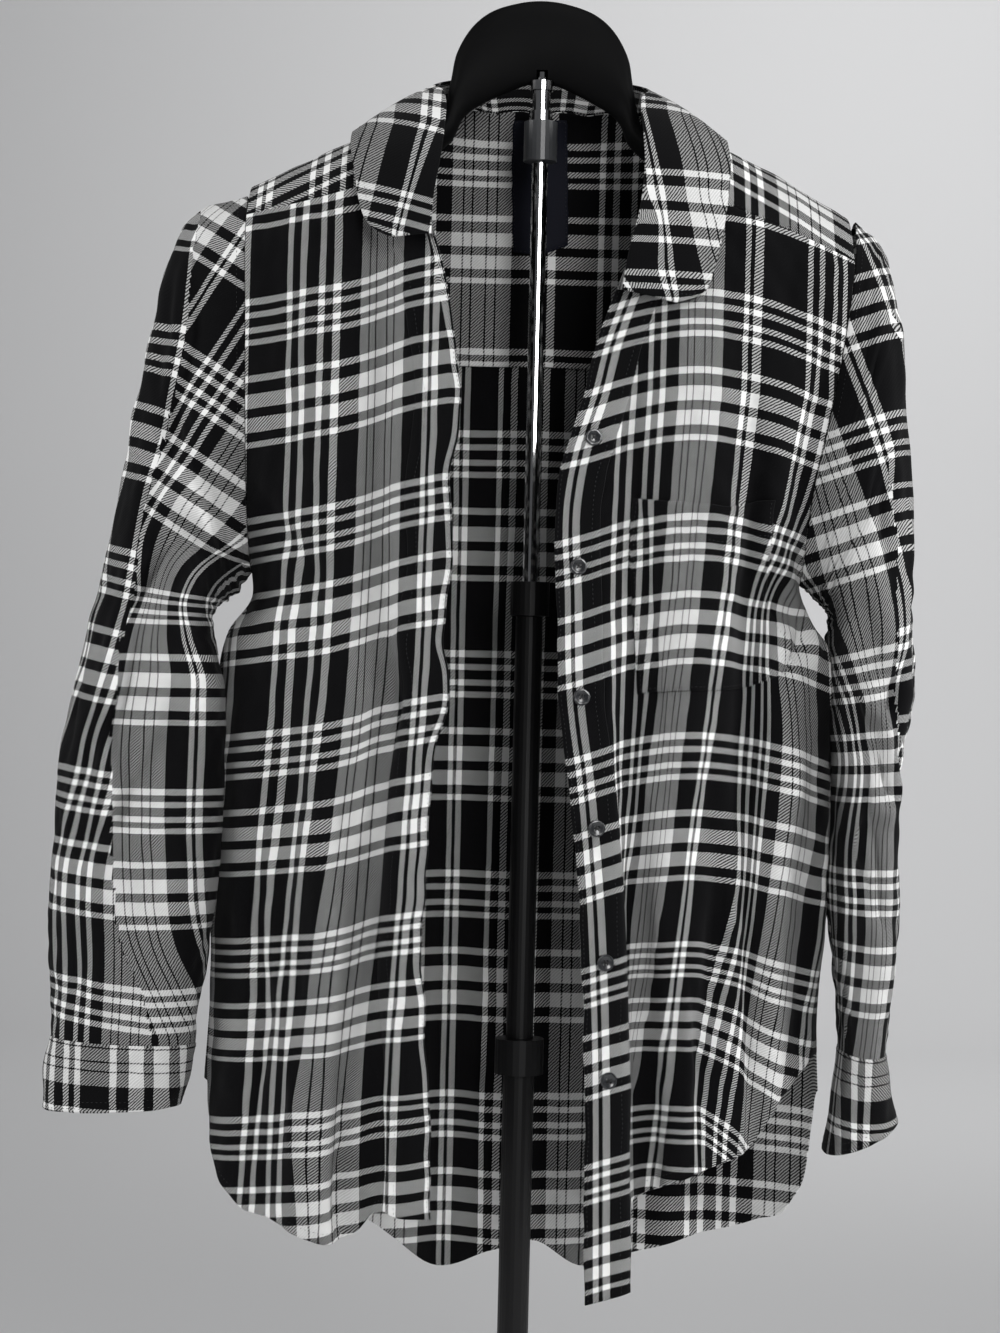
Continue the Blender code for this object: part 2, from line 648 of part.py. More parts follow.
def hanger_section(top_x, top_z, low_x, low_z, middle_y, half_thick, side):
    """One oval section across the hanger's arm, from its top point round by the front."""
    angle = np.linspace(0, 2 * math.pi, HANGER_POINTS, endpoint=False)
    t = (1 - np.cos(angle)) / 2
    x = top_x + (low_x - top_x) * t
    drop = HANGER_LEFT_DROP * top_x / HANGER[-1][0] if side > 0 else 0
    z = top_z - drop + (low_z - top_z) * t
    return np.stack([side * x, middle_y - half_thick * np.sin(angle), z], axis=-1)


def build_hanger(finish):
    """A thick contoured hanger, notched over the stand's tip."""
    rings = [hanger_section(*row, -1) for row in reversed(HANGER)]
    rings += [hanger_section(*row, 1) for row in HANGER[1:]]
    bm = bmesh.new()
    verts = [[bm.verts.new(point * MM) for point in line] for line in rings]
    for low, high in zip(verts, verts[1:]):
        for j in range(HANGER_POINTS):
            k = (j + 1) % HANGER_POINTS
            bm.faces.new((low[j], low[k], high[k], high[j]))
    bm.faces.new(verts[0])
    bm.faces.new(verts[-1])
    bmesh.ops.recalc_face_normals(bm, faces=bm.faces)
    mesh = bpy.data.meshes.new("hanger")
    bm.to_mesh(mesh)
    bm.free()
    mesh.shade_smooth()
    hanger = bpy.data.objects.new("hanger", mesh)
    bpy.data.collections["flannel_shirt"].objects.link(hanger)
    hanger.data.materials.append(finish)
    width, height = NOTCH
    seat_z = SPIGOT_TOP + FACE_GAP
    bpy.ops.mesh.primitive_cube_add(
        size=1, location=(0, -NOTCH_FORWARD * MM, (seat_z + height - NOTCH_LENGTH / 2) * MM),
    )
    notch = bpy.context.object
    for vert in notch.data.vertices:
        vert.co.x *= width * MM
        vert.co.y *= NOTCH_LENGTH * MM
        vert.co.z *= NOTCH_LENGTH * MM
    bpy.ops.mesh.primitive_cylinder_add(
        vertices=24, radius=SEAT_RADIUS * MM, depth=SEAT_RADIUS * MM,
        location=(0, 0, (seat_z - SEAT_RADIUS / 2) * MM),
    )
    seat = bpy.context.object
    for name, cutter in (("spigot_seat", seat), ("spigot_notch", notch)):
        cutter.name = name
        for owner in list(cutter.users_collection):
            owner.objects.unlink(cutter)
        bpy.data.collections["cutters"].objects.link(cutter)
        cutter.hide_render = True
        cutter.display_type = "WIRE"
        cut = hanger.modifiers.new(name, "BOOLEAN")
        cut.operation = "DIFFERENCE"
        cut.solver = "EXACT"
        cut.object = cutter


def build_mast(finishes):
    """The telescopic mast, each section seated on the one below it."""
    for name, radius, bottom, top, finish, sides in MAST:
        turned(name, radius, bottom, top, finishes[finish], sides=sides)


def collar_ring(name, outer, inner, bottom, top, finish):
    """A short turned sleeve around the mast."""
    bpy.ops.mesh.primitive_circle_add(vertices=24, radius=(outer + inner) / 2 * MM, location=(0, 0, bottom * MM))
    obj = bpy.context.object
    obj.name = name
    bm = bmesh.new()
    bm.from_mesh(obj.data)
    raised = bmesh.ops.extrude_edge_only(bm, edges=bm.edges[:])
    tops = [item for item in raised["geom"] if isinstance(item, bmesh.types.BMVert)]
    bmesh.ops.translate(bm, verts=tops, vec=(0, 0, (top - bottom) * MM))
    bm.to_mesh(obj.data)
    bm.free()
    wall = obj.modifiers.new("wall", "SOLIDIFY")
    wall.thickness = (outer - inner) * MM
    wall.offset = 0
    return keep(obj, finish)


def build_legs(black):
    """Three braced legs between the leg hub, the brace hub and the feet."""
    for name, middle, (radius, below, above) in (
        ("leg_hub", LEG_TOP_Z, LEG_HUB), ("brace_hub", BRACE_HUB_Z, BRACE_HUB),
    ):
        collar_ring(name, radius, HUB_BORE, middle - below, middle + above, black)
    for number, degrees in enumerate(LEG_ANGLES, 1):
        away = np.array((math.cos(math.radians(degrees)), math.sin(math.radians(degrees)), 0))
        up = np.array((0, 0, 1.0))
        top = away * LEG_TOP_RADIUS + up * LEG_TOP_Z
        low = away * (FOOT_CIRCLE - 2) + up * (FOOT_HEIGHT + LEG_ABOVE_FOOT)
        run = (low - top) / np.linalg.norm(low - top)
        square = np.cross(run, np.cross(up, run))
        square = square / np.linalg.norm(square)
        bar(f"leg_{number}", top, low, LEG_SIZE, black)
        middle = top + (low - top) * BRACE_ON_LEG
        under = middle - square * BRACE_BELOW_LEG
        hub = away * (BRACE_HUB[0] + BRACE_FROM_HUB) + up * BRACE_HUB_Z
        bar(f"brace_{number}", hub, under, BRACE_SIZE, black)
        at = away * FOOT_CIRCLE
        turned(
            f"foot_{number}", FOOT_RADIUS, 0, FOOT_HEIGHT, black, at=(at[0], at[1]), sides=20,
            top_radius=FOOT_TOP_RADIUS,
        )


def main():
    for obj in list(bpy.data.objects):
        bpy.data.objects.remove(obj)
    for name in ("flannel_shirt", "cutters"):
        bpy.context.scene.collection.children.link(bpy.data.collections.new(name))
    plain = material("flannel", PALE_CLOTH, 0.9)
    black = material("black_powder_coat", (0.03, 0.03, 0.03), 0.45, 0.0)
    chrome = material("chrome", (0.8, 0.8, 0.8), 0.12, 1.0)
    grey = material("grey_clamp", (0.1, 0.1, 0.11), 0.35)
    moulded = material("black_moulding", (0.02, 0.02, 0.02), 0.55)
    resin = material("button_resin", (0.07, 0.07, 0.075), 0.25)
    woven = material("navy_label", (0.02, 0.025, 0.05), 0.8)
    left, inner = build_torso(plain)
    build_pocket(left, plain)
    build_label(inner, woven)
    mesh = build_buttons(left, resin)
    build_sleeves(plain, mesh, resin)
    build_collar(plain)
    build_hanger(moulded)
    build_mast({"black": black, "chrome": chrome, "grey": grey})
    build_legs(black)


main()
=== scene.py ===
import math

import bmesh
import bpy
import numpy as np
from mathutils import Matrix


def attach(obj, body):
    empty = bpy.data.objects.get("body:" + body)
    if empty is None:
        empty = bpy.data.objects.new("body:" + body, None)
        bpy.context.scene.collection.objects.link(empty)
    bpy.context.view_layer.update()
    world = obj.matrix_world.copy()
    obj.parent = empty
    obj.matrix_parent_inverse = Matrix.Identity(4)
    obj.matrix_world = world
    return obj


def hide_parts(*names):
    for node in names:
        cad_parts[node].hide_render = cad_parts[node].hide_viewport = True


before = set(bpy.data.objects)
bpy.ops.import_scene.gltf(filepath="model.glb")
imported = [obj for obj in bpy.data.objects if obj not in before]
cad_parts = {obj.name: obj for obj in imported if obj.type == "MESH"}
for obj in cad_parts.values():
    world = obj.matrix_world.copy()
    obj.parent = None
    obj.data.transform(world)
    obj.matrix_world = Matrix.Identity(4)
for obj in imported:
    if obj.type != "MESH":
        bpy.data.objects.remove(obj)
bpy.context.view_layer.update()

# A plaid flannel shirt, worn open on a hanger stand. Fine cloth shells stand for the plain solids and
# follow their forms; lengths are in millimetres unless said otherwise. Right and left are the wearer's.

MM = 0.001

# Cloth
WALL = 1.2                  # one layer of flannel with its nap
SEAM = 0.5                  # gap between two pieces sewn edge to edge
LAYER = WALL + 0.4          # from one layer's middle to that of the layer lying on it
THIN = 0.5                  # the woven label

HEM_STITCH = 7.0            # how far in a hem's stitches run
EDGE_STITCH = 1.8           # and those along a seam or an edge

# Torso
UNDERARM_Z = 958.0
ROLL = 65.0                 # how far down the cloth rounds over the hanger's arms
SQUARENESS = 2.4            # exponent of the torso's section: 2 is an ellipse
PLACKET_WIDTH = 30.0
YOKE_SEAM_Z = 1115.0
FRONT_COLUMNS = 12
FRONT_ROWS = 20
BAND_COLUMNS = 11           # a fine front's columns over its band
YOKE_COLUMNS = 24
UNDER = (0, -0.6, -1)       # the way the inner yoke faces
BODY_SWELL = 5.0            # how far the body's sides and the sleeves' inner sides fill out, to touch
SLEEVE_SWELL = 5.5
CREASE_GAIN = 1.7

# z, right side x, left side x, front depth, back depth
BODY = [
    (440, -224, 217, 80, 58),
    (560, -224, 214, 82, 61),
    (640, -220, 210, 82, 64),
    (720, -214, 209, 81, 66),
    (800, -212, 211, 80, 68),
    (870, -213, 213, 79, 70),
    (895, -213, 212, 79, 70),
    (915, -208, 205, 78, 70),
    (940, -196.2, 191.7, 78, 68.9),
    (958, -197, 190, 78, 68),
    (1000, -211, 207, 78, 66),
    (1060, -230, 232, 78, 65),
    (1120, -243, 248, 77, 64),
    (1330, -248, 254, 76, 62),
]

# x, height of the line over the shoulders and hanger
SHOULDER = [
    (-260, 1203), (-210, 1227), (-132, 1264), (-80, 1288), (-50, 1307), (0, 1325),
    (50, 1307), (80, 1289), (135, 1262), (178, 1240), (214, 1220), (260, 1196),
]

# z, right armhole x, left armhole x
ARMHOLE = [(958, -197, 190), (1014, -199, 193), (1062, -200, 202), (1120, -201, 212), (1240, -204, 225)]

# z, inner edge of the right front (neckline, then opening edge)
RIGHT_EDGE = [
    (440, -56), (484, -57), (640, -65), (694, -69), (783, -66), (845, -61), (872, -54), (913, -60),
    (967, -54), (1008, -57), (1090, -52), (1124, -57), (1170, -66), (1190, -72), (1210, -80), (1240, -86),
]

# z, inner edge of the left front
LEFT_EDGE = [
    (440, 49), (472, 48), (670, 42), (745, 37), (819, 29), (874, 21), (942, 18), (1010, 16),
    (1041, 21), (1082, 33), (1120, 42), (1155, 54), (1180, 64), (1205, 76), (1232, 86),
]

# part of the way from the inner edge to the side seam, height of the hem
RIGHT_HEM = [
    (0, 519), (.12, 519), (.24, 520), (.33, 504), (.43, 499), (.53, 502), (.69, 513), (.85, 524), (.93, 545),
    (1, 600),
]
# the left front's hem, with the end of its band hanging below it
LEFT_HEM = [
    (0, 463), (.18, 471), (.192, 529), (.27, 537), (.35, 545), (.47, 553), (.61, 561), (.70, 569), (.76, 585),
    (.85, 606), (1, 628),
]
BACK_HEM = [
    (0, 600), (.04, 552), (.15, 515), (.28, 489), (.385, 456), (.47, 470), (.54, 478), (.625, 458), (.7, 471),
    (.8, 485), (.905, 500), (.96, 516), (.985, 545), (1, 600),
]

# x, height of the seam between front and yoke
RIGHT_YOKE_SEAM = [(-210, 1204), (-145, 1217), (-128, 1222), (-86, 1238)]
LEFT_YOKE_SEAM = [(86, 1232), (130, 1215), (160, 1205), (190, 1194), (226, 1180)]

# top x, top z, bottom x, bottom z, half width, depth at top, depth at bottom (outward is positive)
FRONT_FOLDS = [
    (-112, 1180, -102, 840, 24, -8, -5),
    (-140, 1130, -148, 880, 20, 4, 5),
    (-166, 900, -158, 590, 18, -5, -9),
    (-130, 870, -178, 600, 16, 6, 6),
    (-104, 720, -104, 470, 15, -2, -14),
    (-132, 640, -134, 470, 16, 2, 9),
    (-82, 900, -76, 560, 14, 5, 6),
    (120, 1140, 118, 860, 26, 5, 4),
    (64, 1010, 96, 450, 12, -3, -22),
    (112, 840, 122, 500, 14, 4, 6),
    (146, 1040, 156, 540, 15, -5, -15),
    (181, 940, 172, 600, 14, 4, 9),
]
BACK_FOLDS = [
    (-140, 1000, -150, 440, 20, 3, 9),
    (-92, 940, -100, 440, 18, -3, -10),
    (-44, 1090, -50, 440, 18, 3, 9),
    (0, 1112, -4, 440, 14, -5, -8),
    (48, 1090, 56, 440, 18, 3, 10),
    (104, 960, 108, 440, 18, -3, -9),
    (150, 1010, 158, 440, 18, 3, 8),
]

# neckline from the right front's end to the left's: x, z, face (-1 front, 1 back)
NECKLINE = [
    (-71, 1188, -1), (-80, 1210, -1), (-86, 1238.3, -1), (-85, 1258, -1), (-82, 1276, -1), (-77, 1289, 1),
    (-62, 1294, 1), (-34, 1296, 1), (0, 1297, 1), (34, 1296, 1), (62, 1294, 1), (77, 1290, 1),
    (82, 1277, -1), (85, 1256, -1), (86, 1232.3, -1), (76, 1205, -1), (63, 1178, -1), (54, 1155, -1),
]
NECK_CORNERS = (2, 14)      # rows of the neckline where the yoke's front seams meet it

# collar's fall, the same rows: roll x, y, z, then outer edge x, y, z
COLLAR = [
    (-74, -99, 1187, -112, -84, 1183),
    (-73, -98, 1212, -122, -80, 1207),
    (-69, -90, 1240, -127, -74, 1234),
    (-67, -68, 1270, -131, -56, 1254),
    (-68, -40, 1293, -131, -30, 1266),
    (-76, -8, 1304, -131, 4, 1270),
    (-66, 26, 1315, -112, 45, 1262),
    (-38, 50, 1323, -62, 63, 1260),
    (0, 59, 1327, 0, 68, 1260),
    (38, 50, 1323, 62, 63, 1260),
    (66, 26, 1315, 110, 45, 1262),
    (76, -8, 1304, 129, 4, 1270),
    (69, -40, 1292, 129, -32, 1265),
    (70, -66, 1268, 130, -58, 1248),
    (71, -84, 1238, 128, -74, 1222),
    (68, -93, 1208, 124, -80, 1192),
    (61, -97, 1178, 116, -84, 1160),
    (57, -98, 1152, 109, -84, 1142),
]

# sleeve rings below the armhole: outer x, z, inner x, z, half depth, middle y
RIGHT_SLEEVE = [
    (-236, 1214, -204, 950, 62, 0), (-255, 1188, -209, 944, 63, -2), (-265, 1147, -214, 940, 63, -4),
    (-274, 1091, -219, 936, 60, -8), (-285, 1035, -224, 931, 57, -12), (-298, 964, -228, 921, 54, -16),
    (-306, 924, -225, 903, 53, -18), (-314, 874, -216, 873, 51, -20), (-326, 821, -214, 835, 48, -21),
    (-328, 773, -215, 798, 46, -22), (-329, 733, -218, 750, 43, -22), (-329, 690, -220, 704, 40, -22),
    (-328, 655, -224, 660, 37, -22), (-328, 630, -228, 627, 34, -22),
]
RIGHT_CUFF = [
    (-328, 629.3, -228, 626.3, 34, -22), (-333, 604, -231, 604, 32, -22), (-332, 580, -237, 584, 31, -22),
]
LEFT_SLEEVE = [
    (238, 1206, 197, 954, 62, 0), (248, 1186, 202, 949, 64, 0), (254, 1150, 206, 945, 66, -1),
    (258, 1089, 210, 941, 69, -2), (263, 1025, 213, 936, 70, -4), (265, 970, 215, 927, 70, -5),
    (268, 928, 216, 908, 70, -6), (268, 882, 217, 875, 68, -7), (262, 842, 218, 838, 67, -8),
    (261, 795, 221, 795, 66, -9), (262, 750, 219, 750, 64, -10), (261, 705, 221, 705, 61, -11),
    (258, 660, 224, 660, 57, -12), (256, 632, 226, 632, 52, -12),
]
LEFT_CUFF = [(256, 631.3, 226, 631.3, 52, -12), (261, 603, 222, 597, 48, -12), (266, 584, 217, 560, 46, -12)]
RING_POINTS = 18

# ring (counted from the armhole), angle from the outer point towards the front, ring half width,
# angle half width, depth
SLEEVE_FOLDS = [
    (4.0, 70, 1.6, 34, -9), (6.5, 105, 1.2, 40, -8), (8.0, 40, 1.1, 50, 5), (9.6, 115, 1.1, 46, -6),
    (11.4, 60, 1.2, 55, 5), (5.5, 255, 1.5, 42, -8), (8.5, 235, 1.2, 44, -7), (10.8, 290, 1.3, 50, 5),
    (12.4, 180, 1.0, 60, -4),
]

# Pocket, on the left front: columns and rows of its grid
POCKET_COLUMNS = (3, 8)
POCKET_ROWS = (10, 14)

POCKET_SHIFT = (2.2, -1.6)  # how far its check misses the front's, across and down

LABEL_WIDTH = 38.0
TIP_RADIUS = 20.0           # the rounded ends of the collar's leaves

BUTTON_RADIUS = 5.8
BUTTON_THICK = 2.4

# Hanger, from its middle out: top x, top z, bottom x, bottom z, middle y, half thickness
HANGER = [
    (0, 1369, 0, 1309.5, 4, 12), (18, 1367, 10, 1309, 4, 12), (37, 1360.5, 22, 1304.5, 4, 12.5),
    (51, 1348.5, 35, 1298.5, 4, 13), (61, 1330, 48, 1291, 3, 13), (65, 1309, 56, 1283, 2, 13),
    (72, 1281, 64, 1267, 1, 15), (90, 1271, 86, 1251, 1, 21), (132, 1257, 126, 1233, -3, 25),
    (168, 1238, 162, 1217, -7, 25), (188, 1226, 184, 1211, -9, 20),
]
HANGER_POINTS = 16
HANGER_LEFT_DROP = 3.0      # the left arm sits a little lower

# Stand
SPIGOT_TOP = 1311.0
NOTCH = (8.0, 7.2)          # the hanger's notch over the spigot's tip: width and height
NOTCH_LENGTH = 20.0
SEAT_RADIUS = 8.6           # the recess over the spigot's head
FACE_GAP = 0.3              # between two faces that meet

# Room and view, in metres
SWEEP_Y = 4.6               # where the floor starts to bend up
SWEEP_RADIUS = 1.6
CAMERA_PLACE = (-0.020, -1.97, 0.8956)
CAMERA_ROLL = 1.35          # degrees
CAMERA_LENS = 75
# name, place, aim, size, power
LAMPS = [
    ("key", (0.7, -2.7, 1.7), (0, 0, 0.9), (0.7, 1.2), 38),
    ("right_side", (2.1, -0.6, 1.5), (0, 0, 0.9), (0.5, 1.4), 38),
    ("left_side", (-2.1, -0.7, 1.6), (0, 0, 0.9), (0.5, 1.4), 30),
    ("top", (0.2, -0.5, 3.1), (0, 0, 1.0), (1.0, 1.0), 10),
    ("backdrop", (1.5, 2.6, 3.4), (0.7, 6.0, 2.3), (1.4, 1.4), 88),
]


# ---------------------------------------------------------------- creases, added to the solids' folds

# x, z of one end, x, z of the other, half width, height (outward positive)
RIGHT_CREASES = [
    (-142, 760, -150, 520, 12, 4), (-112, 740, -120, 500, 10, -5), (-178, 800, -186, 560, 11, -4),
    (-96, 900, -92, 700, 9, -4), (-104, 1120, -98, 850, 7, -3.5), (-160, 830, -176, 610, 9, -3),
    (-150, 860, -120, 640, 11, 2.5), (-186, 1010, -150, 950, 8, -2.5), (-128, 1000, -110, 760, 9, 2),
    (-90, 720, -94, 520, 7, -3), (-170, 700, -140, 520, 9, 2.5), (-196, 900, -186, 700, 8, 2),
    (-120, 560, -118, 500, 6, -3), (-150, 1190, -168, 1090, 12, 1.6),
]
LEFT_CREASES = [
    (112, 800, 96, 540, 16, -5), (160, 820, 150, 560, 14, 5), (84, 1000, 92, 760, 9, -4),
    (134, 760, 126, 560, 7, -4), (150, 1000, 152, 640, 6, -4), (172, 980, 196, 900, 7, 3),
    (186, 930, 168, 880, 6, -3), (100, 1130, 88, 960, 12, 1.6), (64, 860, 84, 560, 5, -4),
    (90, 800, 104, 520, 8, 3), (128, 900, 134, 600, 9, -2), (60, 1090, 80, 1000, 9, -1.6),
    (176, 840, 170, 640, 8, 2.6), (120, 700, 128, 570, 7, -2.5), (200, 1130, 188, 1010, 9, -2.4),
    (196, 760, 190, 640, 6, -2.4),
]
BACK_CREASES = [
    (-150, 1060, -120, 800, 12, -3), (150, 1060, 118, 820, 12, -3), (-70, 900, -78, 480, 9, -4),
    (20, 1000, 26, 480, 9, 4), (-20, 900, -26, 480, 8, -4), (80, 880, 88, 480, 9, -4),
    (-118, 820, -126, 480, 8, 4), (128, 820, 134, 480, 8, 4), (-60, 1105, -64, 1000, 6, 3),
    (60, 1105, 62, 1000, 6, 3), (-170, 980, -140, 930, 8, -3), (172, 980, 140, 920, 8, -3),
]
# ring and angle of one end, of the other, half width (1 is a ring or 18 degrees), height
RIGHT_SLEEVE_CREASES = [
    (1.5, 6.2, 4.6, 2.6, 0.45, -6), (2.6, 6.4, 5.6, 3.4, 0.4, 5), (3.6, 6.6, 6.8, 3.0, 0.4, -5),
    (5.0, 6.0, 8.0, 3.2, 0.5, 4), (6.4, 5.6, 9.0, 2.6, 0.4, -4), (8.2, 5.8, 10.4, 3.0, 0.4, -4),
    (9.8, 5.4, 12.2, 3.4, 0.5, 3.5), (11.0, 5.0, 12.6, 2.4, 0.4, -3), (2.0, 1.4, 5.0, 1.0, 0.5, 3),
    (6.0, 1.2, 9.0, 1.6, 0.5, -3), (3.0, 12.6, 6.6, 15.6, 0.5, -5), (5.0, 12.0, 8.0, 15.4, 0.5, 4),
    (7.6, 12.2, 10.6, 15.2, 0.5, -4), (10.0, 12.4, 12.4, 15.0, 0.4, 3), (1.5, 12.8, 4.0, 16.0, 0.4, 4),
]
LEFT_SLEEVE_CREASES = [
    (7.0, 3.0, 8.3, 6.0, 0.34, 4.5), (8.4, 6.2, 9.5, 3.2, 0.32, -5), (9.5, 3.0, 10.5, 6.0, 0.3, 4.5),
    (10.6, 6.2, 11.6, 3.4, 0.3, -4.5), (7.6, 3.2, 8.8, 6.4, 0.3, -4), (9.0, 6.0, 10.0, 3.4, 0.3, 4),
    (2.4, 6.6, 5.4, 3.2, 0.5, -5), (4.4, 6.4, 7.0, 3.6, 0.45, 4), (6.0, 6.2, 8.6, 3.0, 0.4, -4),
    (7.4, 6.0, 9.8, 2.4, 0.45, 4), (9.0, 6.0, 11.4, 3.4, 0.4, -4), (10.8, 5.2, 12.6, 2.8, 0.45, 3),
    (3.0, 1.0, 6.4, 1.6, 0.5, 3), (7.0, 1.6, 10.6, 0.8, 0.5, -3), (3.4, 12.4, 6.6, 15.4, 0.5, -4),
    (6.0, 12.6, 9.4, 15.8, 0.5, 4), (9.0, 12.2, 12.0, 15.2, 0.5, -4), (2.0, 12.6, 4.4, 15.8, 0.4, 3),
]

# ---------------------------------------------------------------- the check and its place on each piece

# one repeat of the check across the cloth: start, end, strength of the light yarn
WARP_REPEAT = 142.0
WARP = [
    (3.0, 7.0, 1.0), (12.7, 16.7, 1.0), (25.1, 29.1, 1.0), (34.9, 38.9, 1.0),
    (49.9, 56.6, 0.66), (57.7, 63.1, 0.66), (64.2, 73.0, 0.66), (74.1, 79.5, 0.66), (80.6, 90.7, 0.66),
    (107.0, 110.4, 1.0), (113.3, 118.5, 1.0),
]
# one repeat down the cloth
WEFT_REPEAT = 150.0
WEFT = [
    (2.9, 7.1, 1.0), (11.9, 16.1, 1.0), (22.3, 26.5, 1.0), (30.8, 35.0, 1.0), (55.6, 59.8, 1.0),
    (68.5, 78.3, 1.0), (84.8, 94.6, 1.0), (100.9, 105.1, 1.0),
]
REPEAT_START = 5.0          # the tables start this far before the chart's own zero
TWILL_PITCH = 2.3
TWILL_DEPTH = 0.62
SINGLE_SHARE = 0.58         # how light one light yarn makes the cloth, and what a second one adds
CROSSED_SHARE = 0.42

# marks across the cloth, then rows of height and the x of each mark
RIGHT_MARKS = (0.0, 31.9, 44.9, 85.7, 110.9)
RIGHT_ACROSS = [
    (500, -192, -163, -148, -108, -84), (600, -190, -160.8, -147, -108, -84),
    (740, -182, -152, -136, -100, -78), (892, -171.2, -139.8, -124, -92, -71),
    (1018, -170.6, -138.6, -120.9, -90.9, -69.5), (1180, -170, -138, -121, -92, -69),
]
LEFT_MARKS = (107.3, 142.0, 174.0, 187.0, 228.0, 249.3, 284.0, 316.0, 329.0, 370.0)
LEFT_ACROSS = [
    (500, 58, 78, 80, 82, 84, 90, 118, 136, 144, 172), (637, 54.5, 72, 76, 78, 84, 97.2, 131, 147, 154, 184),
    (746, 47.4, 66, 74, 78, 96, 112.3, 145, 158, 166, 193),
    (845, 33, 60, 78, 84, 106, 124, 149, 163, 171, 199.5),
    (943, 28, 55, 83, 92, 116, 134, 155, 166, 172, 196),
    (1024, 28.4, 56, 84, 94, 122, 141.8, 176, 198, 206, 236),
    (1087, 30, 58.6, 86.5, 97.4, 126.7, 146, 188, 212, 222, 250),
]
# the back's check, seen between the fronts, and the inner yoke's
BACK_MARKS = (85.7, 110.9, 142.0, 151.7)
BACK_ACROSS = [(440, -72, -48.4, -24.3, -14.1), (1120, -72, -48.4, -24.3, -14.1)]
BACK_START_Z = 1066
BACK_STRETCH = 0.93
INNER_MARKS = (44.9, 85.7, 142.0, 164.1)
INNER_START_Z = 1275.9
INNER_ACROSS = [(1100, -63, -19, 46.6, 70), (1300, -63, -19, 46.6, 70)]
FIRST_LINE = 52.7           # from the repeat's start down to its first narrow line
# x, height of the first narrow line on the fronts
RIGHT_DOWN = [
    (-235, 1086), (-192, 1091), (-160, 1096), (-130, 1102), (-117, 1106), (-101, 1112.5), (-75, 1119),
    (-60, 1122),
]
LEFT_DOWN = [(14, 1077), (33.5, 1082.5), (70, 1095), (105, 1101), (150, 1098), (200, 1084), (240, 1070)]

# cloth taken up by the soft folds low on the fronts: height, length; on the left one also its share,
# by distance from the opening edge
LEFT_TUCK = [(465, 97), (538, 66), (567, 54), (590, 48), (630, 37), (666, 25), (690, 14), (740, 3), (790, 0)]
RIGHT_TUCK = [(500, 42), (540, 39), (565, 36), (590, 35), (625, 24), (670, 14), (720, 6), (780, 0)]
LEFT_TUCK_SHARE = [(0, 0.36), (30, 0.36), (34, 1), (85, 1), (108, 0.5), (132, 0.25), (180, 0.2)]

# the right sleeve's fold edge, and the cloth's marks: height, then x
RIGHT_FOLD = [
    (633, -255), (665, -262), (701, -277), (758, -284), (866, -286), (897, -283), (946, -274), (1006, -267),
    (1060, -255), (1115, -243), (1169, -240), (1215, -236),
]
RIGHT_LINE = [
    (633, -326), (678, -324), (760, -323), (806, -312), (838, -306), (866, -296), (897, -287), (946, -277),
    (1006, -268), (1060, -256), (1115, -245), (1215, -240),
]
# the grey band past the fold: height, x of its two edges
RIGHT_BAND = [
    (633, -250, -214), (665, -262, -227), (701, -276, -241), (758, -282, -247), (866, -282, -247),
    (880, -279, -246), (913, -273, -250), (936, -266, -249), (960, -263, -240), (980, -257, -222),
    (1000, -246.8, -207), (1024, -231.6, -192), (1060, -209.5, -170), (1215, -113, -74),
]
# height on the outer edge (or on the band), distance down the cloth
RIGHT_OUTER_DOWN = [
    (560, 565), (675, 450), (723, 398), (769, 352.7), (820, 300), (871, 248), (973, 150), (1025, 98),
    (1073, 52.7), (1128, 0), (1183, -52), (1193, -65.3), (1205, -81.6), (1225, -105),
]
RIGHT_BAND_DOWN = [
    (560, 555), (665, 450), (711, 398), (754, 352.7), (777, 328), (804, 300), (852, 248), (950, 150),
]
RIGHT_SLANT = [
    (640, 0.14), (720, 0.1), (820, 0.12), (871, 0.17), (973, 0.3), (1025, 0.4), (1073, 0.5), (1128, 0.45),
    (1190, 0.7),
]
# left sleeve: height, x of the marks; height at x 226, distance down
LEFT_SLEEVE_MARKS = (44.9, 85.7, 110.9)
LEFT_SLEEVE_ACROSS = [
    (620, 230, 246, 254), (700, 234, 252, 258), (775, 233, 252, 259), (837, 235, 250.5, 258),
    (893, 226, 247, 258), (936, 213.5, 248.7, 268), (990, 198, 237, 262), (1062, 180, 211, 242),
    (1128, 160, 190, 218), (1200, 140, 172, 196),
]
LEFT_SLEEVE_DOWN = [
    (560, 500), (760, 300), (810, 248), (853, 202.7), (909, 150), (1013, 52.7), (1069, 0), (1250, -170),
]
LEFT_FOLD = [
    (560, 270), (830, 262), (873, 254), (937, 251), (989, 252), (1045, 245), (1075, 242), (1130, 235),
    (1175, 224), (1210, 215),
]

CUFF_START = {"right": (-280.4, 52.7, 1.0), "left": (240.0, 150.0, 1.2)}      # x, distance down, stretch

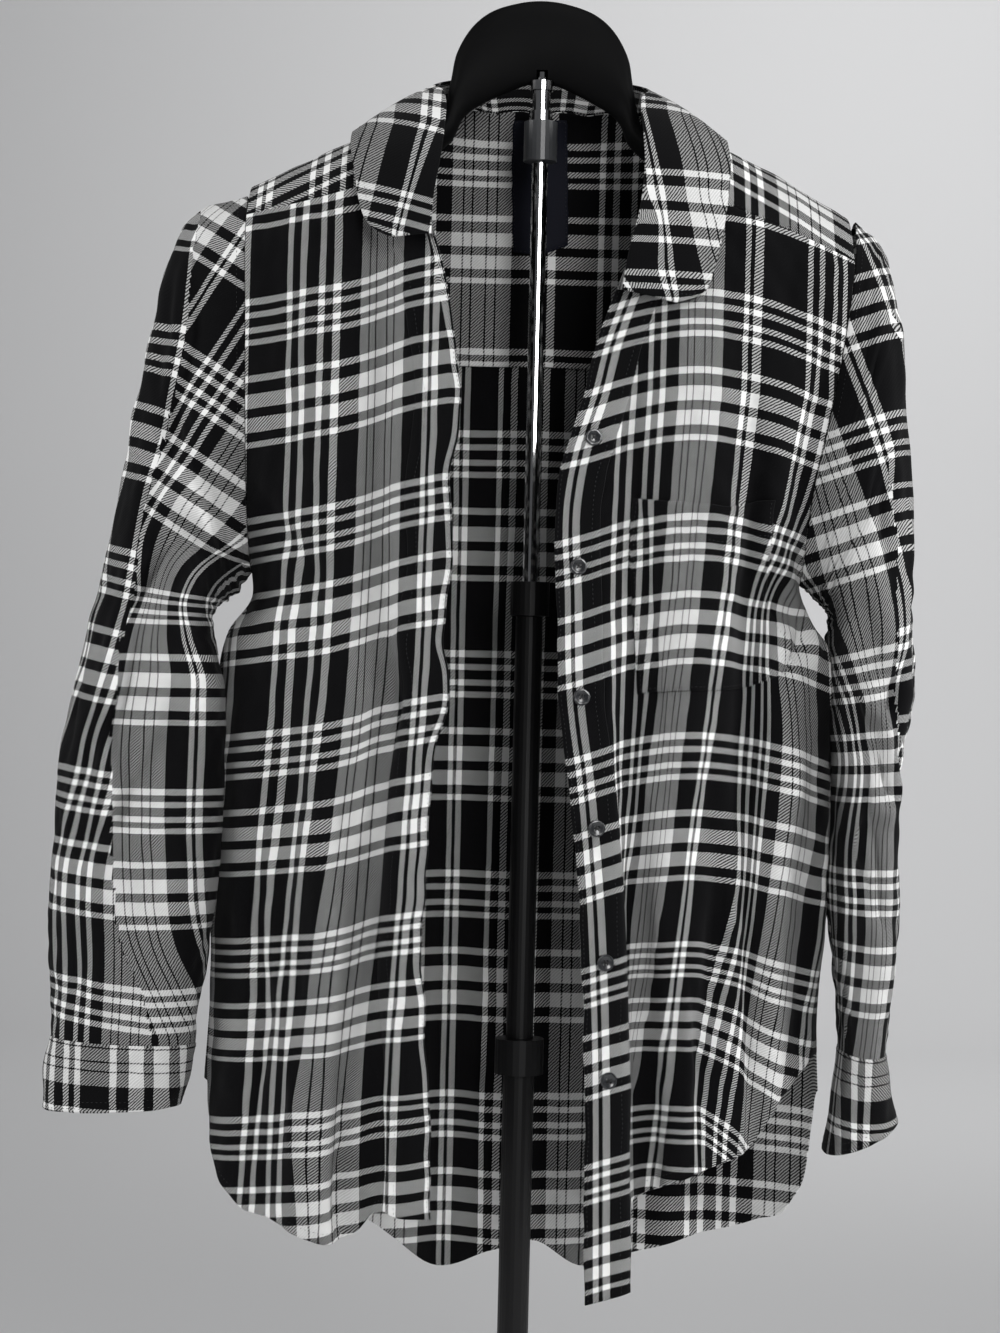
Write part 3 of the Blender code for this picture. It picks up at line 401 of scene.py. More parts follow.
# the collar's leaves: height, x of the marks; height, distance along the collar
LEAF_MARKS = (85.7, 103.7, 110.9)
RIGHT_LEAF = [
    (1183, -119.7, -99.6, -94.8), (1210, -114.2, -92.8, -88.4), (1219, -112.2, -90.8, -85.9),
    (1267, -102, -81.4, -72.9),
]
RIGHT_LEAF_DOWN = [
    (1170, 195), (1186, 178), (1195.5, 169.4), (1206, 159), (1214, 150), (1267, 98), (1281, 84.7),
    (1295, 68.4), (1305, 52.7),
]
LEFT_LEAF = [
    (1147, 88.3, 93.7, 114.1), (1164, 83.2, 89.8, 111.5), (1184, 82.2, 87.6, 105.9),
    (1201, 80.9, 84.7, 102.4), (1218, 75.5, 82.8, 99), (1235, 73.3, 79.2, 96.9), (1281, 65.8, 69.9, 87),
]
LEFT_LEAF_DOWN = [
    (1130, -307), (1146, -291), (1154, -280.6), (1163.5, -272), (1186, -247.3), (1201.5, -231.6),
    (1218, -215.3), (1233, -202), (1285.5, -150), (1293, -141), (1301, -130.6), (1307, -122),
]


# ---------------------------------------------------------------- forms of the solids

def column(table, key, index=1):
    """Smooth value of one column of a table at the given key, held level past its ends."""
    keys = np.array([row[0] for row in table], float)
    values = np.array([row[index] for row in table], float)
    slopes = np.gradient(values, keys)
    key = np.clip(np.asarray(key, float), keys[0], keys[-1])
    low = np.clip(np.searchsorted(keys, key, side="right") - 1, 0, len(keys) - 2)
    span = keys[low + 1] - keys[low]
    t = (key - keys[low]) / span
    rise = t * t * (3 - 2 * t)
    start = values[low] + (values[low + 1] - values[low]) * rise
    bend = span * (slopes[low] * t * (1 - t) ** 2 - slopes[low + 1] * t * t * (1 - t))
    return start + bend


def unit(run):
    """Vectors of length 1."""
    return run / np.linalg.norm(run, axis=-1, keepdims=True)


def torso_depth(x, z, face):
    """Depth of the torso's section at a place, before the shoulders round it over."""
    right = column(BODY, z, 1)
    left = column(BODY, z, 2)
    across = (2 * x - left - right) / (left - right)
    across = np.clip(np.abs(across), 0, 1)
    share = (1 - across ** SQUARENESS) ** (1 / SQUARENESS)
    deep = np.where(face < 0, column(BODY, z, 3), column(BODY, z, 4))
    return deep * share, share


def folds(table, x, z):
    """Depth of the soft vertical folds at a place, outward positive."""
    total = np.zeros(np.broadcast(x, z).shape)
    for top_x, top_z, low_x, low_z, half, top_depth, low_depth in table:
        t = (top_z - z) / (top_z - low_z)
        middle = top_x + (low_x - top_x) * np.clip(t, 0, 1)
        depth = top_depth + (low_depth - top_depth) * np.clip(t, 0, 1)
        fade = np.clip(t / 0.25 + 1, 0, 1) * np.clip((1.25 - t) / 0.25, 0, 1)
        total = total + depth * fade * np.exp(-((x - middle) / half) ** 2)
    return total


def skin(x, z, face):
    """Points of the torso's surface, from x and z and which face (-1 front, 1 back)."""
    x = np.asarray(x, float)
    z = np.asarray(z, float)
    depth, share = torso_depth(x, z, face)
    drop = np.clip(column(SHOULDER, x) - z, 0, ROLL)
    round_over = np.sqrt(np.clip(1 - (1 - drop / ROLL) ** 2, 0, 1))
    table = FRONT_FOLDS if face < 0 else BACK_FOLDS
    depth = (depth + folds(table, x, z) * share) * round_over
    return np.stack(np.broadcast_arrays(x, face * depth, z), axis=-1)


def over_shoulder(x, turn):
    """Points over the shoulder: turn is in degrees from the top line, front negative."""
    top = column(SHOULDER, x)
    around = np.minimum(np.abs(turn), 90)
    beyond = (np.abs(turn) - around) * math.radians(ROLL)
    z = top - ROLL * (1 - np.cos(np.radians(around))) - beyond
    front = skin(x, z, -1)
    back = skin(x, z, 1)
    return np.where((np.asarray(turn) < 0)[..., None], front, back)


def turn_at(x, z, face):
    """The turn over the shoulder at which a point of the torso lies."""
    drop = column(SHOULDER, x) - z
    around = np.degrees(np.arccos(np.clip(1 - drop / ROLL, 0, 1)))
    beyond = np.maximum(drop - ROLL, 0) / math.radians(ROLL)
    return face * (around + beyond)


def turn_of(grid):
    """The turn over the shoulder at a fine grid's points, front negative."""
    face = np.where(grid[..., 1] < 0, -1, 1)
    return turn_at(grid[..., 0], grid[..., 2], 1) * face


def front_x(side, number, z):
    """Distance across of one column of a front, from its inner edge to its side or armhole."""
    which = 1 if side < 0 else 2
    inner = column(RIGHT_EDGE if side < 0 else LEFT_EDGE, z)
    if number <= 2:
        return inner + side * PLACKET_WIDTH * number / 2
    outer = np.where(z < UNDERARM_Z, column(BODY, z, which), column(ARMHOLE, z, which))
    start = inner + side * PLACKET_WIDTH
    return start + (outer - start) * math.sin(math.pi / 2 * (number - 2) / (FRONT_COLUMNS - 2))


def seam_point(side, number):
    """Where a column of a front meets the yoke: x and z."""
    seam = RIGHT_YOKE_SEAM if side < 0 else LEFT_YOKE_SEAM
    z = 1215.0
    for _ in range(8):
        z = column(seam, front_x(side, number, z))
    return float(front_x(side, number, z)), float(z)


def neckline_place(number):
    """Place along the neckline's rows of one of the yoke's columns."""
    first, last = NECK_CORNERS
    return float(np.interp(number, (0, 4, 6, 18, 20, 24), (first, 5, 6, 10, 11, last)))


def neckline_at(place):
    """The neckline's x and turn at a place along its rows."""
    rows = range(len(NECKLINE))
    x = np.interp(place, rows, [row[0] for row in NECKLINE])
    return x, np.interp(place, rows, [float(turn_at(*row)) for row in NECKLINE])


def yoke_outer_edge(number):
    """One point of the yoke's armhole or back edge as x and turn, by column."""
    right_back = float(column(ARMHOLE, YOKE_SEAM_Z, 1))
    left_back = float(column(ARMHOLE, YOKE_SEAM_Z, 2))
    back_z = YOKE_SEAM_Z + SEAM / 2
    if 6 <= number <= 18:
        x = right_back + (left_back - right_back) * (number - 6) / 12
        return x, float(turn_at(x, back_z, 1))
    side, t, back_x = (-1, number / 6, right_back) if number < 6 else (1, (24 - number) / 6, left_back)
    x, z = seam_point(side, FRONT_COLUMNS)
    start = float(turn_at(x, z + SEAM / 2, -1))
    return x + (back_x - x) * t, start + (float(turn_at(back_x, back_z, 1)) - start) * t


def yoke_grid():
    """Rows from the neck outwards, columns from the right front seam round to the left one."""
    rows = []
    for k in range(0, FRONT_COLUMNS + 1, 2):
        line = []
        for number in range(YOKE_COLUMNS + 1):
            side = -1 if number <= YOKE_COLUMNS / 2 else 1
            ends = [seam_point(side, end)[0] for end in (0, k, FRONT_COLUMNS)]
            t = (ends[1] - ends[0]) / (ends[2] - ends[0])
            near = np.array(neckline_at(neckline_place(number)))
            far = np.array(yoke_outer_edge(number))
            x, turn = near + (far - near) * t
            beside = min(number, YOKE_COLUMNS - number)
            if beside < 4:
                seam_x, seam_z = seam_point(side, k)
                seam_turn = float(turn_at(seam_x, seam_z + SEAM / 2, -1))
                end = 0 if side < 0 else YOKE_COLUMNS
                straight = neckline_at(neckline_place(end))[1] * (1 - t) + yoke_outer_edge(end)[1] * t
                turn += (seam_turn - straight) * (1 - beside / 4)
            line.append(over_shoulder(x, turn))
        rows.append(line)
    return np.array(rows)


def collar_grids():
    """The fall's grid and the stand's grid, columns along the neckline."""
    first, last = NECK_CORNERS
    places = list(range(first)) + [neckline_place(number) for number in range(YOKE_COLUMNS + 1)]
    places += list(range(last + 1, len(NECKLINE)))
    neck = np.array([over_shoulder(*neckline_at(place)) for place in places])
    keyed = [(number, *row) for number, row in enumerate(COLLAR)]
    rows = np.array([column(keyed, places, index) for index in range(1, 7)]).T
    roll = rows[:, :3]
    edge = rows[:, 3:]
    towards = unit(roll - neck)
    stand = [neck + towards * 1.3 + (roll - neck - towards * 4.8) * t for t in (0, 0.5, 1)]
    along = np.gradient(roll, axis=0)
    out = unit(np.cross(along, edge - roll))
    out = out * np.sign(np.sum(out * towards, axis=1))[:, None]
    fall = [roll + (edge - roll) * t + out * bulge for t, bulge in ((0, 0), (0.3, 3.5), (0.65, 3.5), (1, 0))]
    return np.array(fall), np.array(stand)


def ring(outer_x, outer_z, inner_x, inner_z, half_depth, middle_y):
    """One ring of a sleeve or cuff, from its outer point round by the front."""
    angle = np.linspace(0, 2 * math.pi, RING_POINTS, endpoint=False)
    t = (1 - np.cos(angle)) / 2
    x = outer_x + (inner_x - outer_x) * t
    z = outer_z + (inner_z - outer_z) * t
    return np.stack([x, middle_y - half_depth * np.sin(angle), z], axis=-1)


def armhole_ring(side):
    """The sleeve's first ring, which follows the armhole of the torso."""
    arm = 1 if side < 0 else 2
    top = column(SHOULDER, side * 212) - 0.2
    angle = np.linspace(0, 2 * math.pi, RING_POINTS, endpoint=False)
    z = UNDERARM_Z + (top - UNDERARM_Z) * (1 + np.cos(angle)) / 2
    x = column(ARMHOLE, z, arm)
    front = skin(x, z, -1)
    back = skin(x, z, 1)
    points = np.where((angle < math.pi)[:, None], front, back)
    points[:, 0] += side * 2.4 * SEAM
    return points


def sleeve_grid(side, table):
    """Rings from the armhole down to the cuff, with the sleeve's folds."""
    rings = [armhole_ring(side)]
    for row in table:
        rings.append(ring(*row))
    rings = np.array(rings)
    for k, share in ((1, 0.6), (2, 0.35), (3, 0.15)):
        rings[k, :, 1] = rings[k, :, 1] * (1 - share) + rings[0, :, 1] * share
    middle = rings.mean(axis=1, keepdims=True)
    outward = unit(rings - middle)
    number = np.arange(len(rings))[:, None]
    degrees = np.linspace(0, 360, RING_POINTS, endpoint=False)[None, :]
    for at, angle, tall, wide, depth in SLEEVE_FOLDS:
        off = (degrees - angle + 180) % 360 - 180
        push = depth * np.exp(-((number - at) / tall) ** 2 - (off / wide) ** 2)
        push = push * np.clip(number / 3, 0, 1) * np.clip((len(rings) - 1 - number) / 2, 0, 1)
        rings = rings + outward * push[..., None]
    return rings


def read_grid(grid, row, col):
    """A point between a grid's own points."""
    i = min(int(row), len(grid) - 2)
    j = min(int(col), grid.shape[1] - 2)
    a, b = row - i, col - j
    low = grid[i, j] * (1 - b) + grid[i, j + 1] * b
    high = grid[i + 1, j] * (1 - b) + grid[i + 1, j + 1] * b
    return low * (1 - a) + high * a


def hanger_section(top_x, top_z, low_x, low_z, middle_y, half_thick, side):
    """One oval section across the hanger's arm, from its top point round by the front."""
    angle = np.linspace(0, 2 * math.pi, HANGER_POINTS, endpoint=False)
    t = (1 - np.cos(angle)) / 2
    x = top_x + (low_x - top_x) * t
    drop = HANGER_LEFT_DROP * top_x / HANGER[-1][0] if side > 0 else 0
    z = top_z - drop + (low_z - top_z) * t
    return np.stack([side * x, middle_y - half_thick * np.sin(angle), z], axis=-1)


def smooth(t):
    """0 to 1 with soft ends."""
    t = np.clip(t, 0, 1)
    return t * t * (3 - 2 * t)


def refine(grid, places, axis, closed=False):
    """A smooth curve through a grid's points along one axis, read at fractional places."""
    grid = np.moveaxis(np.asarray(grid, float), axis, 0)
    count = len(grid)
    places = np.asarray(places, float)
    low = np.floor(places).astype(int)
    if not closed:
        low = np.clip(low, 0, count - 2)

    def at(index):
        if closed:
            return grid[index % count]
        found = grid[np.clip(index, 0, count - 1)].copy()
        found[index < 0] = 2 * grid[0] - grid[1]
        found[index >= count] = 2 * grid[-1] - grid[-2]
        return found

    t = (places - low).reshape(-1, *[1] * (grid.ndim - 1))
    a, b, c, d = (at(low + step) for step in (-1, 0, 1, 2))
    line = (2 * b + (c - a) * t + (2 * a - 5 * b + 4 * c - d) * t ** 2 + (3 * b - a - 3 * c + d) * t ** 3) / 2
    return np.moveaxis(line, 0, axis)


def creases(table, a, b):
    """Height of soft uneven creases, each from (a0, b0) to (a1, b1) with a half width and a height."""
    total = np.zeros(np.broadcast(a, b).shape)
    for number, (a0, b0, a1, b1, half, height) in enumerate(table):
        run = np.array((a1 - a0, b1 - b0), float)
        length = np.linalg.norm(run)
        along = ((a - a0) * run[0] + (b - b0) * run[1]) / length ** 2
        across = ((a - a0) * run[1] - (b - b0) * run[0]) / length
        across = across + half * 0.45 * np.sin(along * 4.7 + number * 2.3)
        width = half * (1 + 0.3 * np.sin(3.3 * along + number * 1.7))
        taper = smooth((along + 0.22) / 0.44) * smooth((1.22 - along) / 0.44)
        total = total + height * taper * np.exp(-(across / width) ** 2)
    return total


def ripple(a, b, size, seed):
    """An uneven small wave over a surface, about one high and size across."""
    dice = np.random.default_rng(seed)
    total = 0
    for _ in range(8):
        turn, phase = dice.uniform(0, 2 * math.pi, 2)
        wave = 2 * math.pi / (size * dice.uniform(0.7, 1.7))
        total = total + np.sin(wave * (a * math.cos(turn) + b * math.sin(turn)) + phase)
    return total / 8 ** 0.5


def normals_of(grid, outward=None, closed=False):
    """Unit normals of a grid, on the side outward points to, or away from a tube's middle."""
    across = np.roll(grid, -1, 1) - np.roll(grid, 1, 1) if closed else np.gradient(grid, axis=1)
    normals = np.cross(np.gradient(grid, axis=0), across)
    normals = normals / np.maximum(np.linalg.norm(normals, axis=2, keepdims=True), 1e-9)
    if closed:
        away = np.sum(normals * (grid - grid.mean(axis=1, keepdims=True)))
    else:
        away = np.sum(normals * np.array(outward))
    return normals * np.sign(away)


def lengths(grid, axis):
    """Distance along a grid's lines from the first point of each."""
    steps = np.linalg.norm(np.diff(grid, axis=axis), axis=2)
    start = np.zeros_like(np.take(steps, [0], axis=axis))
    return np.concatenate([start, np.cumsum(steps, axis=axis)], axis=axis)


def moved_out(edge, beside, distance):
    """An edge of a grid moved on, away from the line beside it."""
    return edge + unit(edge - beside) * distance


def mesh_of(name, verts, faces):
    """A smooth mesh from points in millimetres."""
    mesh = bpy.data.meshes.new(name)
    mesh.from_pydata((np.array(verts) * MM).tolist(), [], faces)
    mesh.shade_smooth()
    return mesh


def panel(name, grid, chart, finish, wall=1.0, closed=False, outward=(0, -1, 0),
          other=None, pick=None):
    """A closed thin shell on a grid of points, with rounded edges. chart is each point's place in the cloth.

    other is a second chart, used past a fold's edge by the faces that pick marks.
    """
    normals = normals_of(grid, outward, closed)
    if other is None:
        other, pick = chart, np.zeros(grid.shape[:2], bool)
    chart = np.concatenate([chart, other, pick[..., None]], axis=-1)
    if closed:
        chart = np.concatenate([chart, chart[:, :1]], axis=1)
    first, last = moved_out(grid[0], grid[1], wall / 2), moved_out(grid[-1], grid[-2], wall / 2)
    points = np.concatenate([first[None], grid, last[None]])
    chart = np.concatenate([chart[:1], chart, chart[-1:]])
    normals = np.concatenate([normals[:1], normals, normals[-1:]])
    height = np.full(points.shape[:2], wall / 2)
    height[0] = height[-1] = 0
    if not closed:
        left = moved_out(points[:, 0], points[:, 1], wall / 2)
        right = moved_out(points[:, -1], points[:, -2], wall / 2)
        points = np.concatenate([left[:, None], points, right[:, None]], axis=1)
        chart = np.concatenate([chart[:, :1], chart, chart[:, -1:]], axis=1)
        normals = np.concatenate([normals[:, :1], normals, normals[:, -1:]], axis=1)
        height = np.pad(height, ((0, 0), (1, 1)))
    rows, cols = points.shape[:2]
    index = np.arange(rows * cols).reshape(rows, cols)
    inner = np.where(height > 0, index + rows * cols, index)
    rise = normals * height[..., None]
    verts = np.concatenate([(points + rise).reshape(-1, 3), (points - rise).reshape(-1, 3)])
    faces, places = [], []
    i, j = np.meshgrid(np.arange(rows - 1), np.arange(cols if closed else cols - 1), indexing="ij")
    i, j = i.ravel(), j.ravel()
    corners = [(i, j), (i, j + 1), (i + 1, j + 1), (i + 1, j)]
    past = chart[i, j, 4:5] > 0.5
    for layer, order in ((index, (0, 1, 2, 3)), (inner, (3, 2, 1, 0))):
        faces.append(np.stack([layer[corners[k][0], corners[k][1] % cols] for k in order], axis=1))
        found = [chart[corners[k][0], corners[k][1]] for k in order]
        places.append(np.stack([np.where(past, c[:, 2:4], c[:, :2]) for c in found], axis=1))
    faces = np.concatenate(faces)
    places = np.concatenate(places)
    middle = len(faces) // 4
    a, b, c = (verts[faces[middle, k]] for k in (0, 1, 2))
    facing = np.dot(np.cross(b - a, c - b), normals.reshape(-1, 3)[faces[middle, 0] % (rows * cols)])
    if facing < 0:
        faces, places = faces[:, ::-1], places[:, ::-1]
    mesh = mesh_of(name, verts, faces.tolist())
    layer = mesh.uv_layers.new(name="cloth")
    layer.data.foreach_set("uv", (places * MM).ravel())
    bm = bmesh.new()
    bm.from_mesh(mesh)
    bmesh.ops.delete(bm, geom=[v for v in bm.verts if not v.link_faces], context="VERTS")
    bm.to_mesh(mesh)
    bm.free()
    return piece(name, mesh, finish)


def piece(name, mesh, finish):
    """Files a mesh as a visible piece of the object."""
    obj = bpy.data.objects.new(name, mesh)
    bpy.context.scene.collection.objects.link(obj)
    obj.data.materials.clear()
    obj.data.materials.append(finish)
    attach(obj, "root")
    return obj


def declare(nodes, extras=()):
    """Hides the plain parts that a cloth piece replaces. extras, what goes with it, is not used."""
    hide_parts(*nodes)


def sewing_line(grid, normals, edge, distance, closed=False):
    """A line on a grid at a distance in from its low, high, first or last edge, and its normals."""
    both = np.concatenate([grid, normals], axis=-1)
    if edge in ("first", "last"):
        both = both.transpose(1, 0, 2)
    if edge in ("high", "last"):
        both = both[::-1]
    far = lengths(both[..., :3], 0)
    places = [np.interp(distance, far[:, k], np.arange(len(far))) for k in range(far.shape[1])]
    found = np.array([read_grid(both, place, k) for k, place in enumerate(places)])
    if closed:
        found = np.concatenate([found, found[:1]])
    points, facing = found[:, :3], found[:, 3:]
    return points, unit(facing)


def stitches(name, lines, finish, pitch=3.2, long=2.3, thick=0.42, lift=0.62):
    """Rows of small sewn stitches along lines of (points, outward normals)."""
    verts, faces = [], []
    for points, normals in lines:
        far = np.concatenate([[0], np.cumsum(np.linalg.norm(np.diff(points, axis=0), axis=1))])
        starts = np.arange(1.0, far[-1] - long, pitch)
        raised = points + normals * lift

        def at(places):
            return np.stack([np.interp(places, far, raised[:, k]) for k in range(3)], axis=1)

        begin, middle, end = at(starts), at(starts + long / 2), at(starts + long)
        up = np.stack([np.interp(starts, far, normals[:, k]) for k in range(3)], axis=1)
        run = unit(end - begin)
        aside = np.cross(run, up)
        for a, m, b, u, s in zip(begin, middle, end, up, aside):
            base = len(verts)
            ring_points = [m + s * thick / 2, m + u * thick / 2, m - s * thick / 2, m - u * thick / 2]
            verts += [a - u * 0.25, *ring_points, b - u * 0.25]
            for k in range(4):
                faces.append((base, base + 1 + k, base + 1 + (k + 1) % 4))
                faces.append((base + 5, base + 1 + (k + 1) % 4, base + 1 + k))
    return piece(name, mesh_of(name, verts, faces), finish)


# ---------------------------------------------------------------- finishes

def node(tree, kind, inputs=(), **settings):
    """Adds a shader node; inputs are (name or number, value or socket) pairs."""
    made = tree.nodes.new(kind)
    for key, value in settings.items():
        setattr(made, key, value)
    for key, value in inputs:
        if isinstance(value, bpy.types.NodeSocket):
            tree.links.new(value, made.inputs[key])
        else:
            made.inputs[key].default_value = value
    return made


def calc(tree, operation, a, b=0.0, clamp=False):
    return node(tree, "ShaderNodeMath", [(0, a), (1, b)], operation=operation, use_clamp=clamp).outputs[0]


def scaled(tree, value, gain, plus, clamp=False):
    """value x gain + plus."""
    return calc(tree, "ADD", calc(tree, "MULTIPLY", value, gain), plus, clamp)


def vector(tree, operation, a, b):
    return node(tree, "ShaderNodeVectorMath", [(0, a), (1, b)], operation=operation).outputs[0]


def noise_at(tree, place, scale, detail=2.0):
    return node(tree, "ShaderNodeTexNoise", [("Vector", place), ("Scale", scale), ("Detail", detail)])


def blend_of(tree, share, low, high):
    """A colour between two."""
    inputs = [(0, share), (6, (*low, 1)), (7, (*high, 1))]
    return node(tree, "ShaderNodeMix", inputs, data_type="RGBA").outputs[2]


def raise_by(tree, shader, strength, distance, height):
    """Relief on a finish."""
    bump = node(tree, "ShaderNodeBump", [("Strength", strength), ("Distance", distance), ("Height", height)])
    tree.links.new(bump.outputs[0], shader.inputs["Normal"])


def set_inputs(shader, **values):
    """Sets a shader's inputs; an underscore stands for a space."""
    for name, value in values.items():
        shader.inputs[name.replace("_", " ")].default_value = value


def new_material(name):
    """A material, its node tree and its shader."""
    made = bpy.data.materials.new(name)
    made.use_nodes = True
    tree = made.node_tree
    return made, tree, tree.nodes["Principled BSDF"]


def yarn_share(tree, place, repeat, table):
    """How much light yarn runs at a place, from 0 to 1."""
    turned_place = calc(tree, "ADD", place, REPEAT_START * MM + 10 * repeat * MM)
    share = calc(tree, "DIVIDE", calc(tree, "MODULO", turned_place, repeat * MM), repeat * MM)
    ramp = node(tree, "ShaderNodeValToRGB", [(0, share)])
    stops = ramp.color_ramp
    stops.interpolation = "CONSTANT"
    stops.elements[0].position = 0
    stops.elements[0].color = (0, 0, 0, 1)
    stops.elements.remove(stops.elements[1])
    for start, end, strength in table:
        stops.elements.new(start / repeat).color = (strength,) * 3 + (1,)
        stops.elements.new(end / repeat).color = (0, 0, 0, 1)
    return ramp.outputs[0]


def flannel(name, light=0.8, dark=0.0035):
    """Brushed black and white twill check, from the cloth's own coordinates."""
    made, tree, shader = new_material(name)
    cloth_place = node(tree, "ShaderNodeUVMap", uv_map="cloth").outputs[0]
    wander = noise_at(tree, cloth_place, 420.0)
    shift = vector(tree, "SUBTRACT", wander.outputs["Color"], (0.5, 0.5, 0.5))
    place = vector(tree, "ADD", cloth_place, vector(tree, "MULTIPLY", shift, (0.0009, 0.0009, 0)))
    apart = node(tree, "ShaderNodeSeparateXYZ", [(0, place)])
    across, down = apart.outputs[0], apart.outputs[1]
    warp = yarn_share(tree, across, WARP_REPEAT, WARP)
    weft = yarn_share(tree, down, WEFT_REPEAT, WEFT)
    wave = calc(tree, "MULTIPLY", calc(tree, "ADD", across, down), 2 * math.pi / (TWILL_PITCH * MM))
    twill = scaled(tree, calc(tree, "SINE", wave), TWILL_DEPTH, 0.5)
    patchy = noise_at(tree, cloth_place, 1500.0, 3.0)
    fuzz = calc(tree, "MULTIPLY", calc(tree, "SUBTRACT", patchy.outputs[0], 0.5), 0.5)
    turn = calc(tree, "ADD", twill, fuzz, clamp=True)
    lit = node(tree, "ShaderNodeMix", [(0, turn), (2, weft), (3, warp)], data_type="FLOAT").outputs[0]
    both = calc(tree, "MULTIPLY", calc(tree, "MULTIPLY", weft, warp), CROSSED_SHARE)
    full = scaled(tree, lit, SINGLE_SHARE, both, clamp=True)
    colour = blend_of(tree, full, (dark, dark, dark * 1.12), (light, light, light * 0.99))
    worn = scaled(tree, noise_at(tree, cloth_place, 90.0, 4.0).outputs[0], 0.24, 0.88)
    tree.links.new(vector(tree, "MULTIPLY", colour, worn), shader.inputs["Base Color"])
    set_inputs(shader, Roughness=0.95, Specular_IOR_Level=0.06, Sheen_Weight=0.03, Sheen_Roughness=0.5)
    relief = scaled(tree, turn, 0.5, calc(tree, "MULTIPLY", patchy.outputs[0], 0.8))
    raise_by(tree, shader, 0.35, 0.0004, relief)
    return made


def hard(name, colour, roughness, metallic=0.0, grain=0.06, scale=160.0, relief=0.00003, coat=0.0, shine=0.5):
    """A plastic or metal finish with slight unevenness."""
    made, tree, shader = new_material(name)
    place = node(tree, "ShaderNodeTexCoord").outputs["Object"]
    uneven = noise_at(tree, place, scale, 4.0).outputs[0]
    tree.links.new(scaled(tree, uneven, grain, roughness - grain / 2), shader.inputs["Roughness"])
    raise_by(tree, shader, 0.4, relief, uneven)
    tone = blend_of(tree, uneven, [c * 0.85 for c in colour], [min(c * 1.15, 1) for c in colour])
    tree.links.new(tone, shader.inputs["Base Color"])
    set_inputs(shader, Metallic=metallic, Coat_Weight=coat, Specular_IOR_Level=shine)
    return made


def label_finish():
    """Dark navy damask weave of the bare neck label."""
    made, tree, shader = new_material("navy_damask")
    place = node(tree, "ShaderNodeUVMap", uv_map="cloth").outputs[0]
    apart = node(tree, "ShaderNodeSeparateXYZ", [(0, place)])
    slant = calc(tree, "SUBTRACT", apart.outputs[1], apart.outputs[0])
    ribs = calc(tree, "SINE", calc(tree, "MULTIPLY", slant, 9000.0))
    mixed = scaled(tree, ribs, 0.2, noise_at(tree, place, 900.0).outputs[0], clamp=True)
    tone = blend_of(tree, mixed, (0.002, 0.0025, 0.006), (0.006, 0.007, 0.015))
    tree.links.new(tone, shader.inputs["Base Color"])
    set_inputs(shader, Roughness=0.7, Specular_IOR_Level=0.15)
    raise_by(tree, shader, 0.3, 0.0002, mixed)
    return made


# ---------------------------------------------------------------- where the check lies

def guide(table, marks, x, z):
    """Cloth distance across at a place: each row of the table is a height and the x of each mark."""
    lines = [column(table, z, index + 1) for index in range(len(marks))]
    found = None
    for index in range(len(marks) - 1):
        low, high = lines[index], lines[index + 1]
        step = marks[index] + (x - low) * (marks[index + 1] - marks[index]) / (high - low)
        found = step if found is None else np.where(x > low, step, found)
    return found


def front_chart(side, grid):
    """A front's check, from where its lines cross at each height."""
    x, z = grid[..., 0], grid[..., 2]
    if side < 0:
        down = FIRST_LINE + (column(RIGHT_DOWN, x) - z) * 0.9974 + column(RIGHT_TUCK, z)
        return np.stack([guide(RIGHT_ACROSS, RIGHT_MARKS, x, z), down], axis=-1)
    taken_up = column(LEFT_TUCK, z) * np.interp(x - column(LEFT_EDGE, z), *np.array(LEFT_TUCK_SHARE).T)
    down = FIRST_LINE + (column(LEFT_DOWN, x) - z) * 0.992 + taken_up
    return np.stack([guide(LEFT_ACROSS, LEFT_MARKS, x, z), down], axis=-1)


def yoke_chart(grid):
    """The outer yoke's check, square to the back's."""
    down = turn_of(grid) * math.radians(ROLL)
    return np.stack([118.0 + (grid[..., 0] + 42.0) * 1.02, 120.0 - np.abs(down) * np.sign(-down)], axis=-1)


def inner_chart(grid):
    """The inside yoke's check, read through the neck."""
    x, z = grid[..., 0], grid[..., 2]
    return np.stack([guide(INNER_ACROSS, INNER_MARKS, x, z), INNER_START_Z - z], axis=-1)


def right_sleeve_chart(grid, front):
    """The right sleeve's check: on the outer strip, past the fold, and where the second one holds."""
    x, z = grid[..., 0], grid[..., 2]
    edge = grid[:, :1, 0]
    high = z + column(RIGHT_SLANT, z) * (x - edge)
    outer = np.stack([142 + (x - column(RIGHT_LINE, z)) * 1.2, column(RIGHT_OUTER_DOWN, high)], axis=-1)
    upper = 0.91 * (0.849 * (1111.3 - z) - 0.528 * (x + 242.2))
    lower = column(RIGHT_BAND_DOWN, z)
    blend = smooth((z - 915) / 60)
    inner = np.stack([
        guide(RIGHT_BAND, (186.9, 227.7), x, z), blend * upper + (1 - blend) * lower,
    ], axis=-1)
    return outer, inner, front & (x > column(RIGHT_FOLD, z))


def left_sleeve_chart(grid, front):
    """The left sleeve's check, slanted above the elbow and split along the fold near its outer edge."""
    x, z = grid[..., 0], grid[..., 2]
    slant = np.interp(z, (750, 850, 950), (0, 0.14, 0.36))
    across = guide(LEFT_SLEEVE_ACROSS, LEFT_SLEEVE_MARKS, x, z)
    down = column(LEFT_SLEEVE_DOWN, z - slant * (x - 226))
    slipped = smooth((1060 - z) / 60)
    beyond = np.stack([across + 12 * slipped, down + 8 * slipped], axis=-1)
    shown = np.stack([across, down], axis=-1)
    return beyond, shown, front & (x < column(LEFT_FOLD, z))


